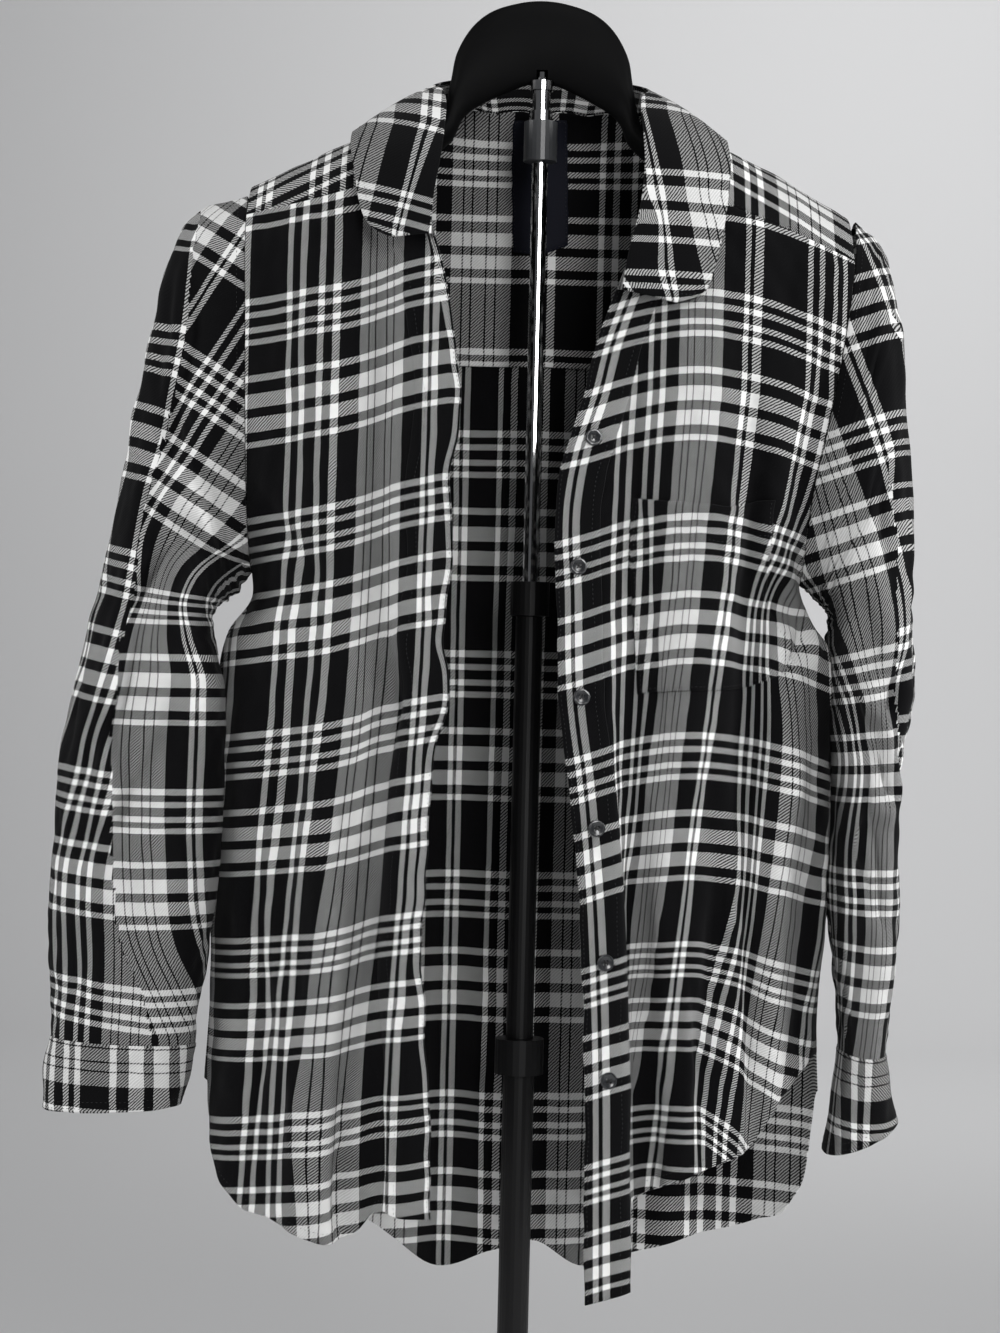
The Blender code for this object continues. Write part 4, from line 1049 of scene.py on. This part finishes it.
def carry_round(chart, plain_chart, plain, axis, sense):
    """A front chart carried on round the outer edge and the back by the cloth's length, and the front's own.

    The two part at the seam, on the inner edge. plain is the grid without its creases.
    """
    size = plain.shape[1]
    start, stop, seam = size // 12, size // 2 - size // 15, size // 2
    place = np.arange(size)
    share = (smooth((place - start) / (size / 8)) * (place <= seam))[None, :, None]
    found = share * chart + (1 - share) * plain_chart
    order = (start - np.arange(size - seam + start + 1)) % size
    found[:, order, axis] = plain_chart[:, start, axis][:, None] + sense * lengths(plain[:, order], 1)
    front = found.copy()
    front[:, seam, :] = plain_chart[:, seam, :]
    inward = lengths(plain[:, stop:seam + 1], 1)
    front[:, stop:seam + 1, axis] = front[:, stop, axis][:, None] - sense * inward
    return found, front


def collar_chart(grid):
    """The collar's check: by height on the leaves in front, by the run of the cloth behind the neck."""
    x, y, z = grid[..., 0], grid[..., 1], grid[..., 2]
    across_right = guide(RIGHT_LEAF, LEAF_MARKS, x, z)
    across_left = guide(LEFT_LEAF, LEAF_MARKS[::-1], x, z)
    down_right = column(RIGHT_LEAF_DOWN, z + 0.28 * (x + 95))
    down_left = column(LEFT_LEAF_DOWN, z)
    run = lengths(grid, 1)[0]
    behind = np.flatnonzero(y.mean(axis=0) > -12)
    ends = [behind[0], behind[-1]]
    down_behind = np.interp(run, run[ends], (down_right[:, ends[0]].mean(), down_left[:, ends[1]].mean()))
    across_behind = 115 - lengths(grid, 0)
    front = smooth((4 - y) / 34)
    right = x < 0
    across = front * np.where(right, across_right, across_left) + (1 - front) * across_behind
    down = front * np.where(right, down_right, down_left) + (1 - front) * down_behind
    return np.stack([across, down], axis=-1), down_behind


# ---------------------------------------------------------------- cloth

def side_swell(z):
    """Share of the swell between body and sleeve at a height."""
    return smooth((z - 640) / 90) * smooth((945 - z) / 30)


def edge_fade(grid, first=14.0, last=14.0, low=14.0, high=10.0):
    """0 at a grid's edges and 1 further in, by distance from each edge; 0 distance means free."""
    across, along = lengths(grid, 1), lengths(grid, 0)
    fade = np.ones(grid.shape[:2])
    sides = ((across, first), (across[:, -1:] - across, last), (along, low), (along[-1:] - along, high))
    for distance, width in sides:
        if width:
            fade = fade * smooth(distance / width)
    return fade


def fine_front(side, columns=64, rows=236):
    """A front's middle surface with its creases, and its chart."""
    hem = RIGHT_HEM if side < 0 else LEFT_HEM
    low_inner, low_outer = front_x(side, 0, 500), front_x(side, FRONT_COLUMNS, 600)
    rest = np.linspace(0, FRONT_COLUMNS - 2, columns - BAND_COLUMNS + 1)[1:]
    numbers = np.concatenate([np.linspace(0, 2, BAND_COLUMNS), 2 + rest])
    grid = []
    for k in numbers:
        share = (front_x(side, k, 520) - low_inner) / (low_outer - low_inner)
        low = column(hem, share) if side < 0 else np.interp(share, *np.array(hem).T)
        z = np.linspace(low, seam_point(side, k)[1] - SEAM / 2, rows)
        grid.append(skin(front_x(side, k, z), z, -1))
    grid = np.array(grid).transpose(1, 0, 2)
    x, z = grid[..., 0], grid[..., 2]
    rise = CREASE_GAIN * creases(RIGHT_CREASES if side < 0 else LEFT_CREASES, x, z)
    rise = rise + 1.3 * ripple(x, z * 0.3, 36, 5 + side) + 0.5 * ripple(x, z * 0.5, 13, 9 + side)
    chart = front_chart(side, grid)
    grid[..., 0] += side * BODY_SWELL * smooth((side * x - 130) / 60) * side_swell(z)
    free = edge_fade(grid, 0, 16, 0, 14) * (0.2 + 0.8 * smooth((lengths(grid, 1) - 22) / 18))
    grid = grid + normals_of(grid, (0, -1, 0)) * (rise * free)[..., None]
    grid[..., 1] = np.minimum(grid[..., 1], -SEAM / 2)
    wave = np.sin(z / 17.0 + 2 * np.sin(z / 53.0)) + 0.6 * np.sin(z / 6.1 + np.sin(z / 29.0))
    curl = (0.8 if side < 0 else 0.5) * wave
    grid[..., 0] += curl * smooth(1 - numbers / 1.6)[None, :] * smooth((1150 - z) / 60)
    return grid, chart


def build_front(side, finish, thread):
    """One front with its hem, and its band, which is sewn on top along the opening edge."""
    name = "right" if side < 0 else "left"
    grid, chart = fine_front(side)
    front = panel(f"front_{name}_cloth", grid, chart, finish)
    normals = normals_of(grid, (0, -1, 0))
    hem = stitches(f"front_{name}_hem_stitches", [sewing_line(grid, normals, "low", HEM_STITCH)], thread)
    declare([f"front_{name}"], [hem])
    top = int(len(grid) * 19 / FRONT_ROWS)
    facing = normals[:top, :BAND_COLUMNS]
    band = grid[:top, :BAND_COLUMNS] + facing * LAYER
    band_chart = chart[:top, :BAND_COLUMNS].copy()
    if side > 0:
        band_chart[..., 0] = LEFT_MARKS[0] + (band[..., 0] - column(LEFT_EDGE, band[..., 2]) - 10.4)
    else:
        off = lengths(band, 1)
        band_chart[..., 0] = np.where(off < 5, 115.5 - off * 2.0, band_chart[..., 0])
    placket = panel(f"placket_{name}_cloth", band, band_chart, finish)
    lines = [sewing_line(band, facing, "first", step) for step in (1.6, PLACKET_WIDTH - 5.0)]
    declare([f"placket_{name}"], [stitches(f"placket_{name}_stitches", lines, thread)])
    return grid, chart, normals


def build_pocket(front, finish, thread):
    """The patch pocket on the left front, a little open at its mouth."""
    grid, chart, normals = front
    steps = [int(round(number / FRONT_ROWS * (len(grid) - 1))) for number in POCKET_ROWS]
    rows = slice(steps[0], steps[1] + 1)
    spread = (grid.shape[1] - BAND_COLUMNS) / (FRONT_COLUMNS - 2)
    steps = [int(round(BAND_COLUMNS - 1 + (number - 2) * spread)) for number in POCKET_COLUMNS]
    cols = slice(steps[0], steps[1] + 1)
    facing = normals[rows, cols]
    patch = grid[rows, cols] + facing * (LAYER + 0.3)
    down = lengths(patch, 0)
    gape = np.exp(-((down[-1:] - down) / 11) ** 2) * (1.6 + 1.2 * np.sin(lengths(patch, 1) / 9.0 + 1.0))
    patch = patch + facing * (gape * edge_fade(patch, 8, 8, 0, 0))[..., None]
    pocket = panel("pocket_cloth", patch, chart[rows, cols] + np.array(POCKET_SHIFT), finish)
    lines = [sewing_line(patch, facing, edge, 2.0) for edge in ("first", "last", "low")]
    lines.append(sewing_line(patch, facing, "high", 24.0))
    declare(["pocket"], [stitches("pocket_stitches", lines, thread)])


def build_back(finish, thread, columns=132, rows=190):
    """The back panel, its points closer together at the sides."""
    grid = []
    for number in range(columns + 1):
        f = 0.5 - 0.5 * math.cos(math.pi * number / columns)
        z = np.linspace(column(BACK_HEM, f), YOKE_SEAM_Z - SEAM / 2, rows)
        right, left = (np.where(z < UNDERARM_Z, column(BODY, z, k), column(ARMHOLE, z, k)) for k in (1, 2))
        grid.append(skin(right + (left - right) * f, z, 1))
    grid = np.array(grid).transpose(1, 0, 2)
    x, z = grid[..., 0].copy(), grid[..., 2]
    grid[..., 0] += np.sign(x) * BODY_SWELL * smooth((np.abs(x) - 130) / 60) * side_swell(z)
    rise = creases(BACK_CREASES, x, z) + 1.0 * ripple(x, z * 0.3, 40, 21) + 0.35 * ripple(x, z * 0.6, 14, 22)
    chart = np.stack([guide(BACK_ACROSS, BACK_MARKS, x, z), (BACK_START_Z - z) * BACK_STRETCH], axis=-1)
    grid = grid + normals_of(grid, (0, 1, 0)) * (rise * edge_fade(grid, 16, 16, 0, 14))[..., None]
    grid[..., 1] = np.maximum(grid[..., 1], SEAM / 2)
    back = panel("back_cloth", grid, chart, finish, outward=(0, 1, 0))
    hem = sewing_line(grid, normals_of(grid, (0, 1, 0)), "low", HEM_STITCH)
    declare(["back"], [stitches("back_hem_stitches", [hem], thread)])


def build_yokes(finish, thread, label):
    """The outer yoke, the inner one under it and the label that is sewn to that."""
    rows, cols = np.linspace(0, 6, 46), np.linspace(0, YOKE_COLUMNS, 190)
    grid = refine(refine(yoke_grid(), rows, 0), cols, 1)
    up = (0, 0.6, 1)
    normals = normals_of(grid, up)
    rise = 0.5 * ripple(grid[..., 0], grid[..., 1], 30, 31) * edge_fade(grid, 10, 10, 10, 12)
    outer = grid + normals * rise[..., None]
    yoke = panel("yoke_cloth", outer, yoke_chart(outer), finish, outward=up)
    fine = normals_of(outer, up)
    lines = [sewing_line(outer, fine, edge, EDGE_STITCH) for edge in ("first", "last", "high")]
    declare(["yoke"], [stitches("yoke_stitches", lines, thread)])
    inner = grid - normals * LAYER
    inside = panel("yoke_inner_cloth", inner, inner_chart(inner), finish, outward=UNDER)
    declare(["yoke_inner"])
    build_label(inner, label, thread)


def build_label(inner, finish, thread):
    """The woven label inside the back neck, sewn down all round."""
    normals = normals_of(inner, UNDER)
    lifted = inner + normals * (WALL / 2 + 1.0 + THIN / 2)
    middle = (inner.shape[1] - 1) / 2
    patch, facing = [], []
    for row in np.linspace(1.0, 18.0, 22):
        line = inner[int(row)]
        spread = abs(line[int(middle) + 10][0] - line[int(middle)][0]) / 10
        places = [middle + share * LABEL_WIDTH / 2 / spread for share in np.linspace(-1, 1, 16)]
        patch.append([read_grid(lifted, row, place) for place in places])
        facing.append([read_grid(normals, row, place) for place in places])
    patch, facing = np.array(patch), np.array(facing)
    chart = np.stack([patch[..., 0] + 60, 1400 - patch[..., 2]], axis=-1)
    label = panel("neck_label_cloth", patch, chart, finish, wall=0.4, outward=UNDER)
    lines = [sewing_line(patch, facing, edge, 1.2) for edge in ("first", "last", "low", "high")]
    sewn = stitches("label_stitches", lines, thread, lift=0.3)
    declare(["neck_label"], [sewn])


def sleeve_surface(side, table, table_creases, seed):
    """A sleeve's middle surface with its creases, the same without them, and each point's place round it."""
    coarse = sleeve_grid(side, table)
    rows, angles = np.linspace(0, len(coarse) - 1, 196), np.linspace(0, RING_POINTS, 121)[:-1]
    grid = refine(refine(coarse, rows, 0), angles, 1, closed=True)
    number, place = np.meshgrid(rows, angles, indexing="ij")
    from_top = np.minimum(place, RING_POINTS - place)
    grid[..., 2] -= SLEEVE_SWELL * np.exp(-(from_top / 0.8) ** 2) * smooth(1 - number / 1.6)
    inner = np.exp(-((place - RING_POINTS / 2) / 3.0) ** 2)
    grid[..., 0] -= side * SLEEVE_SWELL * inner * side_swell(grid[..., 2])
    x, z = grid[..., 0], grid[..., 2]
    around = place / RING_POINTS * 2 * math.pi
    aside, forward = 60 * np.cos(around), 60 * np.sin(around)
    rise = creases(table_creases, number, place)
    uneven = 0.9 * ripple(number * 22, aside, 36, seed) * ripple(number * 22, forward, 60, seed + 1) * 0.6
    rise = rise + uneven
    rise = rise + 0.4 * ripple(number * 30, forward, 16, seed + 2)
    off = x - column(RIGHT_FOLD if side < 0 else LEFT_FOLD, z)
    ridge = 4.0 * np.exp(-((off + side * -5) / 6) ** 2) - 5.0 * np.exp(-((off + side * 6) / 7) ** 2)
    strong = (1.0 if side < 0 else 0.35) * smooth((z - 710) / 90) * smooth((1185 - z) / 50)
    rise = 1.4 * rise + np.where(place < RING_POINTS / 2, ridge * strong * np.sin(around).clip(0) ** 0.5, 0)
    fade = smooth(number / 1.4) * smooth((len(coarse) - 1 - number) / 0.7)
    return grid + normals_of(grid, closed=True) * (rise * fade)[..., None], grid, place


def build_sleeve(side, finish, thread):
    """One sleeve, from the armhole to the cuff's seam."""
    name, table, own_creases, seed, charted = {
        -1: ("right", RIGHT_SLEEVE, RIGHT_SLEEVE_CREASES, 41, right_sleeve_chart),
        1: ("left", LEFT_SLEEVE, LEFT_SLEEVE_CREASES, 51, left_sleeve_chart),
    }[side]
    grid, plain, place = sleeve_surface(side, table, own_creases, seed)
    front = place < RING_POINTS / 2
    chart, other, pick = charted(grid, front)
    plain_chart, plain_other, _ = charted(plain, front)
    chart = carry_round(chart, plain_chart, plain, 0, side)[0]
    other = carry_round(other, plain_other, plain, 0, side)[1]
    sleeve = panel(f"sleeve_{name}_cloth", grid, chart, finish, closed=True, other=other, pick=pick)
    line = sewing_line(grid, normals_of(grid, closed=True), "low", 5.5, closed=True)
    sewn = stitches(f"armhole_{name}_stitches", [line], thread)
    declare([f"sleeve_{name}"], [sewn])


def build_cuff(side, finish, thread, rows=26, columns=108):
    """One cuff, closed all round."""
    name, table, seed = ("right", RIGHT_CUFF, 46) if side < 0 else ("left", LEFT_CUFF, 56)
    band = np.array([ring(*row) for row in table])
    places = np.linspace(0, RING_POINTS, columns + 1)[:-1]
    band = refine(refine(band, np.linspace(0, 2, rows), 0), places, 1, closed=True)
    along = np.linspace(0, 1, rows)[:, None]
    around = np.linspace(0, 2 * math.pi, columns + 1)[None, :-1]
    rise = 0.7 * ripple(along * 40, 50 * np.cos(around), 24, seed) * smooth(along * 4)
    band = band + normals_of(band, closed=True) * rise[..., None]
    start_x, start_down, stretch = CUFF_START[name]
    run = start_down + side * -stretch * (band[..., 0] - start_x)
    chart = np.stack([57.0 + lengths(band, 0), run], axis=-1)
    chart, other = carry_round(chart, chart, band, 1, -1)
    front = np.broadcast_to(around < math.pi, band.shape[:2])
    cuff = panel(f"cuff_{name}_cloth", band, chart, finish, wall=2.2, closed=True, other=other, pick=front)
    normals = normals_of(band, closed=True)
    seams = (("low", EDGE_STITCH), ("high", EDGE_STITCH), ("high", 6.5))
    lines = [sewing_line(band, normals, edge, off, closed=True) for edge, off in seams]
    sewn = stitches(f"cuff_{name}_stitches", lines, thread, lift=1.25)
    declare([f"cuff_{name}"], [sewn])


def round_tips(grid, radius):
    """Rounds the two outer corners of the collar's leaf."""
    along, across = lengths(grid, 1), lengths(grid, 0)
    to_edge = across[-1:] - across
    inward = unit(-np.gradient(grid, axis=0))
    for to_end, sign in ((along, 1), (along[:, -1:] - along, -1)):
        away = unit(sign * np.gradient(grid, axis=1))
        near = (to_end < radius) & (to_edge < radius)
        a, b = (radius - to_end) / radius, (radius - to_edge) / radius
        new_a, new_b = a * np.sqrt(1 - np.clip(b, 0, 1) ** 2 / 2), b * np.sqrt(1 - np.clip(a, 0, 1) ** 2 / 2)
        shift = away * ((a - new_a) * radius)[..., None] + inward * ((b - new_b) * radius)[..., None]
        grid = grid + shift * near[..., None]
    return grid


def build_collar(finish, thread):
    """The collar's fall with its round-tipped leaves, and the stand inside it."""
    fall, stand = collar_grids()
    places = np.linspace(0, fall.shape[1] - 1, 200)
    fine = refine(refine(fall, np.linspace(0, 3, 26), 0), places, 1)
    chart, down = collar_chart(fine)
    fine = round_tips(fine, TIP_RADIUS)
    out = (0, -0.3, 1)
    leaf = panel("collar_cloth", fine, chart, finish, wall=1.6, outward=out)
    normals = normals_of(fine, out)
    lines = [sewing_line(fine, normals, edge, 6.0) for edge in ("first", "last", "high")]
    declare(["collar"], [stitches("collar_stitches", lines, thread, lift=0.9)])
    low = refine(refine(stand, np.linspace(0, 2, 12), 0), places, 1)
    across = np.linspace(20, 55, 12)[:, None]
    chart = np.stack(np.broadcast_arrays(across, down[None, :]), axis=-1)
    band = panel("collar_stand_cloth", low, chart, finish, wall=1.4, outward=(0, -1, 0.2))
    declare(["collar_stand"])


# ---------------------------------------------------------------- hard pieces

def carve(obj, cutters):
    """The mesh of an object with cutters taken out of it; the cutters go."""
    for cutter in cutters:
        cut = obj.modifiers.new(cutter.name, "BOOLEAN")
        cut.operation = "DIFFERENCE"
        cut.solver = "EXACT"
        cut.object = cutter
    made = bpy.data.meshes.new_from_object(obj.evaluated_get(bpy.context.evaluated_depsgraph_get()))
    for cutter in cutters:
        bpy.data.objects.remove(cutter)
    return made


def build_hanger(finish):
    """The moulded hanger with the seat and notch for the spigot."""
    right = np.array([hanger_section(*row, -1) for row in reversed(HANGER)])
    left = np.array([hanger_section(*row, 1) for row in HANGER[1:]])
    coarse = np.concatenate([right, left])
    places = np.linspace(0, len(coarse) - 1, 150)
    grid = refine(refine(coarse, places, 0), np.linspace(0, HANGER_POINTS, 65)[:-1], 1, closed=True)
    rows, cols = grid.shape[:2]
    faces = [(i * cols + j, i * cols + (j + 1) % cols, (i + 1) * cols + (j + 1) % cols, (i + 1) * cols + j)
             for i in range(rows - 1) for j in range(cols)]
    faces += [tuple(range(cols)), tuple(range((rows - 1) * cols, rows * cols))]
    mesh = mesh_of("hanger_body", grid.reshape(-1, 3), faces)
    bm = bmesh.new()
    bm.from_mesh(mesh)
    bmesh.ops.recalc_face_normals(bm, faces=bm.faces)
    bm.to_mesh(mesh)
    bm.free()
    hanger = piece("hanger_body", mesh, finish)
    seat_z = SPIGOT_TOP + FACE_GAP
    width, height = NOTCH
    cutters = []
    bpy.ops.mesh.primitive_cylinder_add(vertices=64, radius=SEAT_RADIUS * MM, depth=SEAT_RADIUS * MM,
                                        location=(0, 0, (seat_z - SEAT_RADIUS / 2) * MM))
    cutters.append(bpy.context.object)
    bpy.ops.mesh.primitive_cube_add(size=1, location=(0, -6 * MM, (seat_z + height - NOTCH_LENGTH / 2) * MM),
                                    scale=(width * MM, 20 * MM, NOTCH_LENGTH * MM))
    cutters.append(bpy.context.object)
    made = carve(hanger, cutters)
    hanger.modifiers.clear()
    hanger.data = made
    made.set_sharp_from_angle(angle=math.radians(35))
    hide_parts("hanger")


def button_shape():
    """A four-hole button, 2.4 mm thick with a dished face; z is outward."""
    bpy.ops.mesh.primitive_cylinder_add(vertices=48, radius=BUTTON_RADIUS * MM, depth=BUTTON_THICK * MM)
    body = bpy.context.object
    bevel = body.modifiers.new("rim", "BEVEL")
    bevel.width = 0.6 * MM
    bevel.segments = 4
    cutters = []
    bpy.ops.mesh.primitive_uv_sphere_add(radius=14 * MM, segments=48, ring_count=32,
                                         location=(0, 0, (BUTTON_THICK / 2 + 13.35) * MM))
    cutters.append(bpy.context.object)
    for k in range(4):
        angle = math.pi / 4 + k * math.pi / 2
        hole = (1.55 * MM * math.cos(angle), 1.55 * MM * math.sin(angle), 0)
        bpy.ops.mesh.primitive_cylinder_add(vertices=16, radius=0.75 * MM, depth=6 * MM, location=hole)
        cutters.append(bpy.context.object)
    made = carve(body, cutters)
    bpy.data.objects.remove(body)
    made.shade_smooth()
    made.set_sharp_from_angle(angle=math.radians(32))
    return made


def thread_cross():
    """The sewing thread between a button's holes."""
    verts, faces = [], []
    for turn in (math.pi / 4, 3 * math.pi / 4):
        cosine, sine = math.cos(turn), math.sin(turn)
        for off in (-0.22, 0.22):
            for number, t in enumerate(np.linspace(-1, 1, 9)):
                reach = 1.6 * t
                x, y = reach * cosine - off * sine, reach * sine + off * cosine
                z = BUTTON_THICK / 2 - 0.95 * abs(t) ** 6 - 0.35 + 0.3 * (turn > 1)
                for k in range(6):
                    aside, rise = 0.2 * math.cos(k * math.pi / 3), 0.2 * math.sin(k * math.pi / 3)
                    verts.append((x - sine * aside, y + cosine * aside, z + rise))
                if number:
                    low, high = len(verts) - 12, len(verts) - 6
                    faces += [(low + k, low + (k + 1) % 6, high + (k + 1) % 6, high + k) for k in range(6)]
    return mesh_of("button_thread", verts, faces)


def build_buttons(resin, thread):
    """Detailed buttons where the plain ones are."""
    shape, cross = button_shape(), thread_cross()
    for name in [f"button_{k}" for k in range(1, 7)] + ["cuff_button_right", "cuff_button_left"]:
        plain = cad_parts[name]
        world = np.array([plain.matrix_world @ v.co for v in plain.data.vertices])
        middle = world.mean(axis=0)
        axis = np.linalg.eigh(np.cov((world - middle).T))[1][:, 0]
        outward = 1 if name.startswith("cuff") else -1
        if axis[1] * outward < 0:
            axis = -axis
        side = unit(np.cross((0, 0, 1.0), axis))
        turn = np.array([side, np.cross(axis, side), axis]).T
        for suffix, mesh, finish in (("disc", shape, resin), ("thread", cross, thread)):
            copy = mesh.copy()
            points = np.array([v.co for v in copy.vertices]) @ turn.T + middle
            copy.vertices.foreach_set("co", points.ravel())
            copy.update()
            made = piece(f"{name}_{suffix}", copy, finish)
            if suffix == "disc":
                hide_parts(name)


def finish_stand(black, chrome, grey, rubber):
    """Finishes for the stand's own pieces, which keep their shapes."""
    looks = {f"spigot_{part}": chrome for part in ("base", "neck", "head", "tip")}
    looks.update({f"foot_{k}": rubber for k in (1, 2, 3)})
    looks.update(top_tube=chrome, clamp_1=grey)
    for name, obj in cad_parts.items():
        if not obj.hide_render:
            obj.data.materials.clear()
            obj.data.materials.append(looks.get(name, black))


# ---------------------------------------------------------------- room

def build_room():
    """A plain pale floor that sweeps up into the backdrop."""
    turn = np.linspace(0, math.pi / 2, 40)
    bend = np.stack([SWEEP_Y + SWEEP_RADIUS * np.sin(turn), SWEEP_RADIUS * (1 - np.cos(turn))], axis=1)
    profile = np.concatenate([[(-7.0, 0.0)], bend, [(SWEEP_Y + SWEEP_RADIUS, 8.0)]])
    verts = [(x, y, z) for y, z in profile for x in (-9.0, 9.0)]
    faces = [(2 * k, 2 * k + 1, 2 * k + 3, 2 * k + 2) for k in range(len(profile) - 1)]
    sweep = bpy.data.objects.new("sweep", bpy.data.meshes.new("sweep"))
    sweep.data.from_pydata(verts, [], faces)
    sweep.data.shade_smooth()
    bpy.context.scene.collection.objects.link(sweep)
    finish, _, shader = new_material("pale_paper")
    set_inputs(shader, Base_Color=(0.78, 0.78, 0.785, 1), Roughness=0.95)
    sweep.data.materials.append(finish)


def light(name, place, aim, size, power):
    """A soft rectangular lamp that points at a place."""
    data = bpy.data.lights.new(name, "AREA")
    data.shape = "RECTANGLE"
    data.size, data.size_y = size
    data.energy = power
    lamp = bpy.data.objects.new(name, data)
    lamp.location = place
    run = np.array(aim, float) - np.array(place, float)
    flat = math.hypot(run[0], run[1])
    lamp.rotation_euler = (math.atan2(flat, -run[2]), 0, math.atan2(-run[0], run[1]))
    bpy.context.scene.collection.objects.link(lamp)


def build_view():
    """The soft studio light, and the camera: level, looking along +Y and rolled a little."""
    world = bpy.data.worlds.new("studio")
    bpy.context.scene.world = world
    world.use_nodes = True
    world.node_tree.nodes["Background"].inputs[0].default_value = (0.95, 0.97, 1.0, 1)
    world.node_tree.nodes["Background"].inputs[1].default_value = 0.1
    bpy.context.scene.view_settings.view_transform = "Standard"
    for lamp in LAMPS:
        light(*lamp)
    data = bpy.data.cameras.new("camera")
    data.lens = CAMERA_LENS
    data.sensor_width = 36
    data.clip_start = 0.05
    camera = bpy.data.objects.new("camera", data)
    level = Matrix.Rotation(math.radians(90), 4, "X")
    roll = Matrix.Rotation(math.radians(CAMERA_ROLL), 4, "Z")
    camera.matrix_world = Matrix.Translation(CAMERA_PLACE) @ level @ roll
    bpy.context.scene.collection.objects.link(camera)
    bpy.context.scene.camera = camera


def main():
    cloth_finish = flannel("flannel_check")
    thread = hard("black_thread", (0.012, 0.012, 0.013), 0.8)
    resin = hard("button_resin", (0.014, 0.015, 0.017), 0.25, grain=0.1, scale=600.0, coat=0.3)
    moulded = hard("black_moulding", (0.003, 0.003, 0.0032), 0.6, grain=0.1, scale=300.0, shine=0.06)
    black = hard("black_powder_coat", (0.004, 0.004, 0.0043), 0.4, grain=0.1, scale=900.0, shine=0.25)
    grey = hard("grey_clamp", (0.045, 0.047, 0.05), 0.36, grain=0.1, scale=500.0)
    chrome = hard("polished_chrome", (0.6, 0.6, 0.61), 0.07, metallic=1.0, grain=0.04, relief=0.000004)
    rubber = hard("black_rubber", (0.015, 0.015, 0.015), 0.75)
    build_front(-1, cloth_finish, thread)
    left_front = build_front(1, cloth_finish, thread)
    build_pocket(left_front, cloth_finish, thread)
    build_back(cloth_finish, thread)
    build_yokes(cloth_finish, thread, label_finish())
    for side in (-1, 1):
        build_sleeve(side, cloth_finish, thread)
        build_cuff(side, cloth_finish, thread)
    build_collar(cloth_finish, thread)
    build_hanger(moulded)
    build_buttons(resin, thread)
    finish_stand(black, chrome, grey, rubber)
    build_room()
    build_view()


main()
